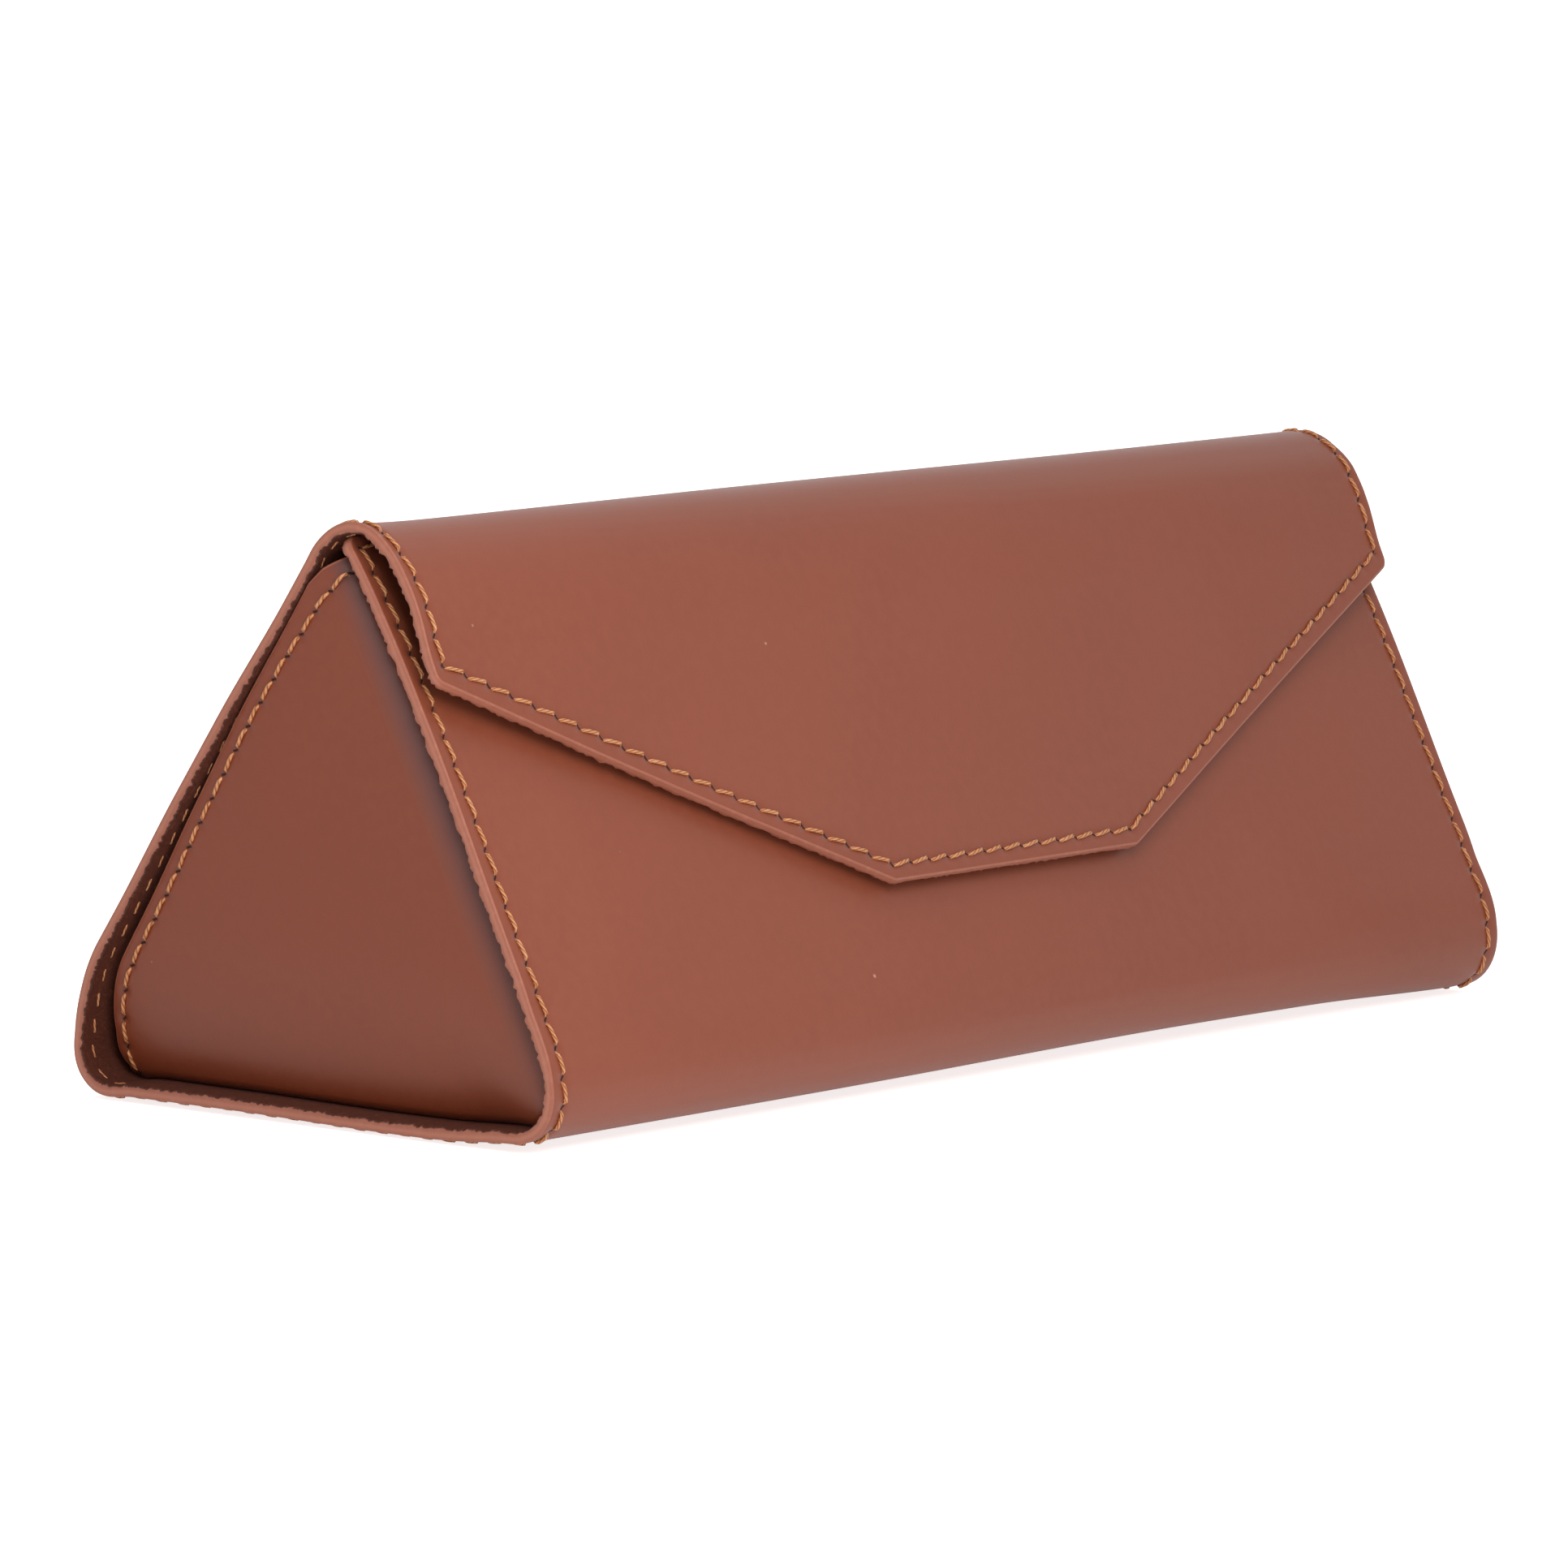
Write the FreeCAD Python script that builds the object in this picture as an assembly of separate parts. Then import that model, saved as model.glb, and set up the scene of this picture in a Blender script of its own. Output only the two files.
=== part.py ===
import FreeCAD, Part
import math
import os

# A stitched leather glasses case with a triangular section.  One long sheet of leather makes the
# front panel, the base, the back panel, the rolled ridge and the closing flap.  Two end gussets
# are sewn behind the front panel and glued to the base.  All lengths are millimetres.
#
# Frame: X along the case, -Y the front, +Z up, origin at the middle of the footprint on the floor.

# ---- driving dimensions -----------------------------------------------------------------------
LENGTH = 170.0              # along the ridge
DEPTH = 71.8                # front to back over the base's rounded corners
LEATHER = 1.3               # thickness of the wrap and of the gussets
FOOT_RADIUS = 6.0           # outer radius of both bottom corners

FRONT_TOE_Y = -42.3         # where the front panel's outer face would meet the floor
REAR_TOE_Y = 44.7           # where the back panel's outer face would meet the floor
APEX_Y = -4.7               # where the two panels' outer faces would meet at the top
APEX_Z = 69.35
FRONT_SWEEP_RADIUS = 40.0   # the front panel's slow bend down into its bottom corner
REAR_SWEEP_RADIUS = 19.0    # the back panel's slow bend down into its bottom corner
ROLL_RADIUS = 8.3           # outer radius of the ridge

FRONT_TOP_DROP = 6.1        # slope distance from the apex to the front panel's top edge
FLAP_STANDOFF_RIDGE = 5.43  # front panel's outer face to the flap's, at the apex
FLAP_STANDOFF_NOSE = 1.65   # the same at the nose
FLAP_SIDE_DROP = 24.2       # slope distance from the apex to the flap's side corner
FLAP_NOSE_DROP = 53.3       # slope distance from the apex to the nose edge
NOSE_HALF_WIDTH = 21.8
CORNER_RADIUS = 2.0         # rounding of the cut corners of the sheet
HINGE_GAP = 0.2             # left open between two bodies where the sheet flexes

GUSSET_INSET = 1.4          # gusset's outer face in from the wrap's end
GUSSET_FLANGE = 10.0        # how far the gusset's turned-in flange reaches from its face
GUSSET_BEND_RADIUS = 4.0    # outer radius of the gusset's bend into its flange
GUSSET_TOP_DROP = 8.6       # slope distance from the apex to the gusset's top front corner
GUSSET_REAR_TOP_Z = 60.0    # height of the gusset's top rear corner
GUSSET_BACK_GAP = 0.7       # gusset's free edge to the back panel's inner face
GUSSET_HEEL_RADIUS = 9.0    # rounding of the gusset's free bottom corner
GLUE_LINE = 0.05            # between the flange and the wrap

STITCH_PITCH = 3.5
STITCH_LENGTH = 2.7
THREAD = 0.5                # thread thickness
ROW_MARGIN = 2.2            # stitch row in from the cut edge
GROOVE_WIDTH = 0.8
GROOVE_DEPTH = 0.3
THREAD_PROUD = 0.15         # thread above the leather where nothing bears on it
THREAD_SUNK = -0.1          # the same under the base and round its corners

MAGNET_RADIUS = 4.0
MAGNET_THICKNESS = 0.8
MAGNET_X = 13.0
MAGNET_DROP = 40.5          # slope distance from the apex
COVER_LENGTH = 42.0
COVER_HEIGHT = 10.4
COVER_THICKNESS = 0.45

# ---- derived values ---------------------------------------------------------------------------
HALF = LENGTH / 2
FOOT_Y = DEPTH / 2 - FOOT_RADIUS
ROW_X = HALF - ROW_MARGIN
QUARTER_TURN = math.pi / 2
END_OUT = FreeCAD.Vector(-1, 0, 0)


def point(y, z, x=0.0):
    return FreeCAD.Vector(x, y, z)


def unit(vector):
    return FreeCAD.Vector(vector).normalize()


def right_of(direction):
    """The outward side of a path that runs anticlockwise seen from +X."""
    return point(direction.z, -direction.y)


def crossing(place, direction, other, heading):
    """Where two lines of the section plane meet."""
    gap = other - place
    spread = direction.y * heading.z - direction.z * heading.y
    return place + direction * ((gap.y * heading.z - gap.z * heading.y) / spread)


class Straight:
    """A straight run of the section, from start to end."""

    def __init__(self, start, end):
        self.start = start
        self.end = end
        self.length = (end - start).Length
        self.direction = unit(end - start)

    def at(self, distance):
        return self.start + self.direction * distance, self.direction

    def part(self, first, last):
        return Straight(self.at(first)[0], self.at(last)[0])

    def edge(self, out):
        shift = right_of(self.direction) * out
        return Part.LineSegment(self.start + shift, self.end + shift).toShape()


class Bend:
    """An anticlockwise arc of the section.  Angles are radians from +Y towards +Z."""

    def __init__(self, centre, radius, start_angle, turn):
        self.centre = centre
        self.radius = radius
        self.start_angle = start_angle
        self.turn = turn
        self.length = radius * turn

    def spoke(self, angle):
        return point(math.cos(angle), math.sin(angle))

    def at(self, distance):
        angle = self.start_angle + distance / self.radius
        heading = self.spoke(angle + QUARTER_TURN)
        return self.centre + self.spoke(angle) * self.radius, heading

    def part(self, first, last):
        start = self.start_angle + first / self.radius
        return Bend(self.centre, self.radius, start, (last - first) / self.radius)

    def edge(self, out):
        radius = self.radius + out
        angles = [self.start_angle + self.turn * share for share in (0.0, 0.5, 1.0)]
        return Part.Arc(*[self.centre + self.spoke(a) * radius for a in angles]).toShape()


# ---- the wrap's outer line --------------------------------------------------------------------
FRONT_TOE = point(FRONT_TOE_Y, 0)
REAR_TOE = point(REAR_TOE_Y, 0)
APEX = point(APEX_Y, APEX_Z)
DOWN_FRONT = unit(FRONT_TOE - APEX)
FRONT_OUT = right_of(DOWN_FRONT)
UP_BACK = unit(APEX - REAR_TOE)
BACK_OUT = right_of(UP_BACK)
FLAP_ORIGIN = APEX + FRONT_OUT * FLAP_STANDOFF_RIDGE
FLAP_END = APEX + DOWN_FRONT * FLAP_NOSE_DROP + FRONT_OUT * FLAP_STANDOFF_NOSE
DOWN_FLAP = unit(FLAP_END - FLAP_ORIGIN)
FLAP_OUT = right_of(DOWN_FLAP)


def heading_angle(direction):
    """The spoke angle of an anticlockwise arc where it runs in this direction."""
    return math.atan2(direction.z, direction.y) - QUARTER_TURN


def sweep_centre(panel_point, panel_out, panel_along, sweep, foot):
    """Centre of the large arc that is tangent to a panel's face and, inside it, to the foot's arc."""
    depth = -(foot - panel_point).dot(panel_out)
    along = math.sqrt((sweep - FOOT_RADIUS) ** 2 - (sweep - depth) ** 2)
    return foot - panel_out * (sweep - depth) + panel_along * along


def wrap_line():
    """The whole outer line, from the front panel's top edge round to the flap's nose."""
    front_foot = point(-FOOT_Y, FOOT_RADIUS)
    rear_foot = point(FOOT_Y, FOOT_RADIUS)
    front_sweep = sweep_centre(FRONT_TOE, FRONT_OUT, -DOWN_FRONT, FRONT_SWEEP_RADIUS, front_foot)
    rear_sweep = sweep_centre(REAR_TOE, BACK_OUT, UP_BACK, REAR_SWEEP_RADIUS, rear_foot)

    front_start = heading_angle(DOWN_FRONT) + 2 * math.pi
    to_front_foot = front_foot - front_sweep
    front_meet = math.atan2(to_front_foot.z, to_front_foot.y)
    to_rear_foot = rear_foot - rear_sweep
    rear_meet = math.atan2(to_rear_foot.z, to_rear_foot.y)

    front = Straight(APEX + DOWN_FRONT * FRONT_TOP_DROP, front_sweep + FRONT_OUT * FRONT_SWEEP_RADIUS)
    sweep_1 = Bend(front_sweep, FRONT_SWEEP_RADIUS, front_start, front_meet - front_start)
    foot_1 = Bend(front_foot, FOOT_RADIUS, front_meet, 3 * QUARTER_TURN - front_meet)
    base = Straight(point(-FOOT_Y, 0), point(FOOT_Y, 0))
    foot_2 = Bend(rear_foot, FOOT_RADIUS, -QUARTER_TURN, rear_meet + QUARTER_TURN)
    back_angle = heading_angle(UP_BACK)
    sweep_2 = Bend(rear_sweep, REAR_SWEEP_RADIUS, rear_meet, back_angle - rear_meet)

    # The roll is tangent to the back panel's line and to the flap's line.
    ridge = crossing(REAR_TOE, UP_BACK, FLAP_ORIGIN, DOWN_FLAP)
    flap_angle = heading_angle(DOWN_FLAP) + 2 * math.pi
    roll_turn = flap_angle - back_angle
    inward = unit(DOWN_FLAP - UP_BACK)
    roll_centre = ridge + inward * (ROLL_RADIUS / math.cos(roll_turn / 2))
    roll = Bend(roll_centre, ROLL_RADIUS, back_angle, roll_turn)
    back = Straight(rear_sweep + BACK_OUT * REAR_SWEEP_RADIUS, roll.at(0.0)[0])
    flap = Straight(roll.at(roll.length)[0], FLAP_END)
    return [front, sweep_1, foot_1, base, foot_2, sweep_2, back, roll, flap]


WRAP = wrap_line()
FRONT_RUNS = WRAP[:3]
HEEL = sum(run.length for run in WRAP[:5])
RIDGE = sum(run.length for run in WRAP[:7]) + WRAP[7].length / 2
WRAP_LENGTH = sum(run.length for run in WRAP)
BASE_START = sum(run.length for run in FRONT_RUNS)
BASE_END = BASE_START + WRAP[3].length


# ---- path tools -------------------------------------------------------------------------------
def trim(runs, first, last):
    """The stretch of a path between two distances along it."""
    kept = []
    begun = 0.0
    for run in runs:
        low = max(first - begun, 0.0)
        high = min(last - begun, run.length)
        if high - low > 1e-6:
            kept.append(run.part(low, high))
        begun += run.length
    return kept


def locate(runs, distance):
    """Point and direction at a distance along a path."""
    for run in runs:
        if distance <= run.length + 1e-9:
            return run.at(distance)
        distance -= run.length
    return runs[-1].at(runs[-1].length + distance)


def band(runs, out, thickness, x_low, x_high):
    """A sheet that follows a path: its outer face is `out` outside the path."""
    outer = [run.edge(out) for run in runs]
    inner = [run.edge(out - thickness) for run in runs]
    caps = []
    for distance in (0.0, sum(run.length for run in runs)):
        place, direction = locate(runs, distance)
        side = right_of(direction)
        caps.append(Part.LineSegment(place + side * out, place + side * (out - thickness)).toShape())
    wire = Part.Wire(Part.__sortEdges__(outer + inner + caps))
    solid = Part.Face(wire).extrude(FreeCAD.Vector(x_high - x_low, 0, 0))
    solid.translate(FreeCAD.Vector(x_low, 0, 0))
    return solid


def rounded_outline(corners, radii):
    """A closed wire through coplanar corners, each rounded to its own radius."""
    edges = []
    ends = []
    count = len(corners)
    for i in range(count):
        corner = corners[i]
        before = unit(corners[i - 1] - corner)
        after = unit(corners[(i + 1) % count] - corner)
        half = math.acos(before.dot(after)) / 2
        reach = radii[i] / math.tan(half)
        entry = corner + before * reach
        leave = corner + after * reach
        if radii[i] > 0:
            middle = corner + unit(before + after) * (radii[i] / math.sin(half) - radii[i])
            edges.append(Part.Arc(entry, middle, leave).toShape())
        ends.append((entry, leave))
    for i in range(count):
        edges.append(Part.LineSegment(ends[i - 1][1], ends[i][0]).toShape())
    return Part.Wire(Part.__sortEdges__(edges))


def slab(outline, direction, thickness):
    """A flat plate from a closed wire, pushed along a unit direction."""
    return Part.Face(outline).extrude(direction * thickness)


# ---- stitches ---------------------------------------------------------------------------------
def stitch(middle, along, outward, proud):
    """One stitch: a short bar lying in its groove, `proud` above the leather's face."""
    across = outward.cross(along)
    corner = middle - along * (STITCH_LENGTH / 2) - across * (THREAD / 2) - outward * GROOVE_DEPTH
    bar = Part.makeBox(STITCH_LENGTH, THREAD, GROOVE_DEPTH + proud)
    rows = []
    for name in ("x", "y", "z"):
        rows += [getattr(along, name), getattr(across, name), getattr(outward, name), getattr(corner, name)]
    bar.Placement = FreeCAD.Placement(FreeCAD.Matrix(*rows, 0, 0, 0, 1))
    return bar


def spaced(first, last):
    """Stitch centres that fill a stretch at the nearest whole number of pitches."""
    count = max(1, round((last - first) / STITCH_PITCH))
    step = (last - first) / count
    return [first + step * (i + 0.5) for i in range(count)]


def stitches_round(x, first, last):
    """Stitches along the wrap's section at one end of the case, sunk where they face the floor."""
    made = []
    for distance in spaced(first, last):
        place, direction = locate(WRAP, distance)
        on_base = BASE_START - STITCH_LENGTH < distance < BASE_END + STITCH_LENGTH
        proud = THREAD_SUNK if on_base else THREAD_PROUD
        made.append(stitch(point(place.y, place.z, x), direction, right_of(direction), proud))
    return made


def stitches_between(start, end, outward):
    """Stitches in a straight row on a flat face."""
    along = unit(end - start)
    return [
        stitch(start + along * distance, along, outward, THREAD_PROUD)
        for distance in spaced(0.0, (end - start).Length)
    ]


def straight_groove(start, end, outward):
    """The cutter for a straight stitch groove on a flat face."""
    along = unit(end - start)
    across = along.cross(outward) * (GROOVE_WIDTH / 2)
    reach = along * (GROOVE_WIDTH / 2)
    corners = [start - reach - across, end + reach - across, end + reach + across, start - reach + across]
    return slab(Part.makePolygon(corners + corners[:1]), -outward, GROOVE_DEPTH)


def side_groove(runs, x):
    """The cutter for the stitch groove round one end of the wrap."""
    return band(runs, 0.0, GROOVE_DEPTH, x - GROOVE_WIDTH / 2, x + GROOVE_WIDTH / 2)


# ---- the wrap's three stretches ---------------------------------------------------------------
TRAY_RUNS = trim(WRAP, 0.0, HEEL - HINGE_GAP / 2)
BACK_RUNS = trim(WRAP, HEEL + HINGE_GAP / 2, RIDGE - HINGE_GAP / 2)
FLAP_RUNS = trim(WRAP, RIDGE + HINGE_GAP / 2, WRAP_LENGTH)
FRONT_ROW_DROP = FRONT_TOP_DROP + ROW_MARGIN


def front_at(drop, x, out=0.0):
    """A point on the front panel's outer face, or `out` outside it."""
    place = APEX + DOWN_FRONT * drop + FRONT_OUT * out
    return point(place.y, place.z, x)


def flap_at(drop, x, out=0.0):
    """A point on the flap's outer face, or `out` outside it."""
    place = FLAP_ORIGIN + DOWN_FLAP * drop + FLAP_OUT * out
    return point(place.y, place.z, x)


def magnet_pockets(place_at, out, outward):
    """Cutters for the two blind magnet pockets, from a face `out` outside the reference face."""
    return [
        Part.makeCylinder(MAGNET_RADIUS, MAGNET_THICKNESS, place_at(MAGNET_DROP, side * MAGNET_X, out), outward)
        for side in (-1, 1)
    ]


def front_and_base_leather():
    sheet = band(TRAY_RUNS, 0.0, LEATHER, -HALF, HALF)
    top_corners = [
        edge
        for edge in sheet.Edges
        if edge.Length < LEATHER * 1.01
        and min(v.Point.z for v in edge.Vertexes) > APEX_Z - 2 * FRONT_TOP_DROP
    ]
    sheet = sheet.makeFillet(CORNER_RADIUS, top_corners)
    row = trim(TRAY_RUNS, ROW_MARGIN, HEEL)
    cutters = [side_groove(row, side * ROW_X) for side in (-1, 1)]
    top_row = [front_at(FRONT_ROW_DROP, side * ROW_X) for side in (-1, 1)]
    cutters.append(straight_groove(top_row[0], top_row[1], FRONT_OUT))
    cutters += magnet_pockets(front_at, -LEATHER, FRONT_OUT)
    return sheet.cut(cutters)


def back_leather():
    sheet = band(BACK_RUNS, 0.0, LEATHER, -HALF, HALF)
    return sheet.cut([side_groove(BACK_RUNS, side * ROW_X) for side in (-1, 1)])


def flap_row_corners():
    """The corners of the flap's stitch row, a fixed margin inside its cut edge."""
    rise = FLAP_NOSE_DROP - FLAP_SIDE_DROP
    run = HALF - NOSE_HALF_WIDTH
    slant = math.hypot(rise, run)
    side_drop = FLAP_SIDE_DROP - ROW_MARGIN * (slant - rise) / run
    nose_x = NOSE_HALF_WIDTH - ROW_MARGIN * (slant - run) / rise
    return side_drop, FLAP_NOSE_DROP - ROW_MARGIN, nose_x


def flap_row_segments():
    """The three straight stretches of the flap's row below its sides, left to right."""
    side_drop, nose_drop, nose_x = flap_row_corners()
    places = [(side_drop, -ROW_X), (nose_drop, -nose_x), (nose_drop, nose_x), (side_drop, ROW_X)]
    corners = [flap_at(drop, x) for drop, x in places]
    return list(zip(corners[:-1], corners[1:]))


def flap_side_end():
    """Distance along the wrap at which the flap's side row meets its slanted row."""
    return WRAP_LENGTH - (FLAP_NOSE_DROP - flap_row_corners()[0])


def flap_leather():
    sheet = band(FLAP_RUNS, 0.0, LEATHER, -HALF, HALF)
    reach = 2 * LEATHER
    above = -2 * ROLL_RADIUS
    places = [
        (above, -HALF, 0.0),
        (FLAP_SIDE_DROP, -HALF, CORNER_RADIUS),
        (FLAP_NOSE_DROP, -NOSE_HALF_WIDTH, CORNER_RADIUS),
        (FLAP_NOSE_DROP, NOSE_HALF_WIDTH, CORNER_RADIUS),
        (FLAP_SIDE_DROP, HALF, CORNER_RADIUS),
        (above, HALF, 0.0),
    ]
    corners = [flap_at(drop, x, reach) for drop, x, radius in places]
    outline = rounded_outline(corners, [radius for drop, x, radius in places])
    sheet = sheet.common(slab(outline, -FLAP_OUT, 4 * ROLL_RADIUS))
    side_row = trim(WRAP, RIDGE, flap_side_end())
    cutters = [side_groove(side_row, side * ROW_X) for side in (-1, 1)]
    cutters += [straight_groove(start, end, FLAP_OUT) for start, end in flap_row_segments()]
    cutters += magnet_pockets(flap_at, -LEATHER, FLAP_OUT)
    return sheet.cut(cutters)


# ---- the end gussets --------------------------------------------------------------------------
EDGE_IN = LEATHER + GLUE_LINE
GUSSET_X = -HALF + GUSSET_INSET


def gusset_corners(back_in):
    """Top front, top rear and bottom rear corners of the gusset, before its heel is rounded."""
    front_top = APEX + DOWN_FRONT * GUSSET_TOP_DROP - FRONT_OUT * EDGE_IN
    back_face = REAR_TOE - BACK_OUT * back_in
    level = point(1, 0)
    rear_top = crossing(back_face, UP_BACK, point(0, GUSSET_REAR_TOP_Z), level)
    rear_bottom = crossing(back_face, UP_BACK, point(0, EDGE_IN), level)
    return front_top, rear_top, rear_bottom


def gusset_outline():
    """The gusset seen from its end: it follows the wrap on the front and base and is free behind."""
    front_top, rear_top, rear_bottom = gusset_corners(LEATHER + GUSSET_BACK_GAP)
    far_front = point(-DEPTH, EDGE_IN)
    far_top = front_top + (front_top - rear_top) * DEPTH
    corners = [far_front, rear_bottom, rear_top, far_top]
    return rounded_outline(corners, [0.0, GUSSET_HEEL_RADIUS, CORNER_RADIUS, 0.0])


def flange_block(edge_in, x_outer, depth, radius):
    """All that lies inside the wrap's face by edge_in, its end rim rounded along the front and base."""
    runs = trim(FRONT_RUNS, 0.0, BASE_START)
    far = 2 * DEPTH
    top = APEX + DOWN_FRONT * FRONT_TOP_DROP - FRONT_OUT * edge_in
    edges = [run.edge(-edge_in) for run in runs]
    corners = [point(-FOOT_Y, edge_in), point(far, edge_in), point(far, far), point(top.y, far), top]
    edges += [Part.LineSegment(a, b).toShape() for a, b in zip(corners[:-1], corners[1:])]
    face = Part.Face(Part.Wire(Part.__sortEdges__(edges)))
    block = face.extrude(FreeCAD.Vector(depth, 0, 0))
    block.translate(FreeCAD.Vector(x_outer, 0, 0))
    rim = [edge for edge in block.Edges if on_rim(edge, x_outer, edge_in)]
    return block.makeFillet(radius, rim)


def on_rim(edge, x_outer, edge_in):
    """True for an end edge of a flange block that lies against the front panel or the base."""
    if any(abs(v.Point.x - x_outer) > 1e-6 for v in edge.Vertexes):
        return False
    middle = edge.valueAt((edge.FirstParameter + edge.LastParameter) / 2)
    on_slope = abs((APEX - FRONT_OUT * edge_in - middle).dot(FRONT_OUT)) < 0.01
    on_corner = middle.y < -FOOT_Y and middle.z < FRONT_SWEEP_RADIUS / 2
    on_base = abs(middle.z - edge_in) < 0.01
    return on_slope or on_corner or on_base


def gusset_row():
    """The corners of the gusset's stitch row: up the free edge, then along the short top edge."""
    front_top, rear_top, rear_bottom = gusset_corners(LEATHER + GUSSET_BACK_GAP)
    along_top = unit(front_top - rear_top)
    row_top = rear_top + right_of(along_top) * -ROW_MARGIN
    row_back = REAR_TOE - BACK_OUT * (LEATHER + GUSSET_BACK_GAP + ROW_MARGIN)
    corner = crossing(row_back, UP_BACK, row_top, along_top)
    heel = crossing(row_back, UP_BACK, point(0, EDGE_IN + GUSSET_HEEL_RADIUS), point(1, 0))
    end = corner + along_top * ((front_top - rear_top).Length - GUSSET_BEND_RADIUS)
    return [point(place.y, place.z, GUSSET_X) for place in (heel, corner, end)]


def left_gusset():
    shell = flange_block(EDGE_IN, GUSSET_X, GUSSET_FLANGE, GUSSET_BEND_RADIUS)
    hollow = flange_block(
        EDGE_IN + LEATHER, GUSSET_X + LEATHER, 2 * GUSSET_FLANGE, GUSSET_BEND_RADIUS - LEATHER
    )
    prism = slab(gusset_outline(), FreeCAD.Vector(1, 0, 0), LENGTH)
    prism.translate(FreeCAD.Vector(-HALF, 0, 0))
    row = gusset_row()
    grooves = [straight_groove(start, end, END_OUT) for start, end in zip(row[:-1], row[1:])]
    return shell.common(prism).cut([hollow] + grooves)


def left_gusset_thread():
    row = gusset_row()
    made = []
    for start, end in zip(row[:-1], row[1:]):
        made += stitches_between(start, end, END_OUT)
    return Part.makeCompound(made)


# ---- threads, magnets and covers --------------------------------------------------------------
def tray_side_thread(side):
    return Part.makeCompound(stitches_round(side * ROW_X, ROW_MARGIN + STITCH_PITCH / 2, HEEL - HINGE_GAP))


def front_top_thread():
    ends = [front_at(FRONT_ROW_DROP, side * (ROW_X - THREAD)) for side in (-1, 1)]
    return Part.makeCompound(stitches_between(ends[0], ends[1], FRONT_OUT))


def back_side_thread(side):
    return Part.makeCompound(stitches_round(side * ROW_X, HEEL + HINGE_GAP, RIDGE - HINGE_GAP))


def flap_thread():
    made = []
    for side in (-1, 1):
        made += stitches_round(side * ROW_X, RIDGE + HINGE_GAP, flap_side_end())
    for start, end in flap_row_segments():
        made += stitches_between(start, end, FLAP_OUT)
    return Part.makeCompound(made)


def cover(place_at, out, outward):
    """The thin leather patch that holds a pair of magnets in their pockets."""
    low = MAGNET_DROP - COVER_HEIGHT / 2
    high = MAGNET_DROP + COVER_HEIGHT / 2
    half = COVER_LENGTH / 2
    corners = [place_at(drop, x, out) for drop, x in ((low, -half), (high, -half), (high, half), (low, half))]
    return slab(rounded_outline(corners, [CORNER_RADIUS] * 4), -outward, COVER_THICKNESS)


def mirrored(shape):
    return shape.mirror(FreeCAD.Vector(0, 0, 0), FreeCAD.Vector(1, 0, 0))


def main():
    os.makedirs("parts", exist_ok=True)
    front_magnets = magnet_pockets(front_at, -LEATHER, FRONT_OUT)
    flap_magnets = magnet_pockets(flap_at, -LEATHER, FLAP_OUT)
    gusset = left_gusset()
    gusset_thread = left_gusset_thread()
    parts = {
        "front_and_base_leather": front_and_base_leather(),
        "back_leather": back_leather(),
        "flap_leather": flap_leather(),
        "left_gusset": gusset,
        "right_gusset": mirrored(gusset),
        "left_gusset_thread": gusset_thread,
        "right_gusset_thread": mirrored(gusset_thread),
        "left_tray_thread": tray_side_thread(-1),
        "right_tray_thread": tray_side_thread(1),
        "front_top_thread": front_top_thread(),
        "left_back_thread": back_side_thread(-1),
        "right_back_thread": back_side_thread(1),
        "flap_thread": flap_thread(),
        "front_magnet_left": front_magnets[0],
        "front_magnet_right": front_magnets[1],
        "front_magnet_cover": cover(front_at, -LEATHER, FRONT_OUT),
        "flap_magnet_left": flap_magnets[0],
        "flap_magnet_right": flap_magnets[1],
        "flap_magnet_cover": cover(flap_at, -LEATHER, FLAP_OUT),
    }
    for name, shape in parts.items():
        shape.exportStep("parts/" + name + ".step")
        box = shape.BoundBox
        print(name, len(shape.Solids), shape.isValid(), round(shape.Volume, 2),
              [round(v, 2) for v in (box.XMin, box.XMax, box.YMin, box.YMax, box.ZMin, box.ZMax)])
    for name, distance in (("heel hinge", HEEL), ("ridge hinge", RIDGE)):
        place = locate(WRAP, distance)[0]
        print(name, "y", round(place.y, 3), "z", round(place.z, 3))


main()
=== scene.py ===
"""Looks of the leather glasses case: one long wrap, two end gussets and golden tan hand stitching.

Sizes here are millimetres and become metres where a mesh is made.  X runs along the case, -Y is the
front, +Z is up.  "Sheet space" is the leather laid flat: for the wrap, s runs round its section
from the front panel's top edge and x along the case; for a gusset, y and z of its end view.
"""

import math

import bpy
import numpy as np
from mathutils import Matrix, Vector


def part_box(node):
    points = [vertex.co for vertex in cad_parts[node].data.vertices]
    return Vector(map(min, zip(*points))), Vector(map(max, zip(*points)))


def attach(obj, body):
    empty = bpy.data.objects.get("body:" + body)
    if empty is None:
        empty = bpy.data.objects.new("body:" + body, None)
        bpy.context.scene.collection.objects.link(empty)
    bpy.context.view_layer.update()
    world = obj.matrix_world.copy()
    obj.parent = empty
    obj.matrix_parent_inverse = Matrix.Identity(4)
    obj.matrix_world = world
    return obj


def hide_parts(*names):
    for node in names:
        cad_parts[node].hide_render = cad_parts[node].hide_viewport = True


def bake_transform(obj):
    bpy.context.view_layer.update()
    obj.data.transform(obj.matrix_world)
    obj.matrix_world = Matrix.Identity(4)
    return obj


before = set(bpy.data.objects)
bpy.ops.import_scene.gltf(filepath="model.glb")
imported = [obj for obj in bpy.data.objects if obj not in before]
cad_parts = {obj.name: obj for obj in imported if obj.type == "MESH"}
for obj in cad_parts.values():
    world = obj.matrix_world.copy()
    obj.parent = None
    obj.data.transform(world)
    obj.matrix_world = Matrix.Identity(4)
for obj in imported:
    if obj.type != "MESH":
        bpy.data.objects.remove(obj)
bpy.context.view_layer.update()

MM = 0.001

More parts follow.
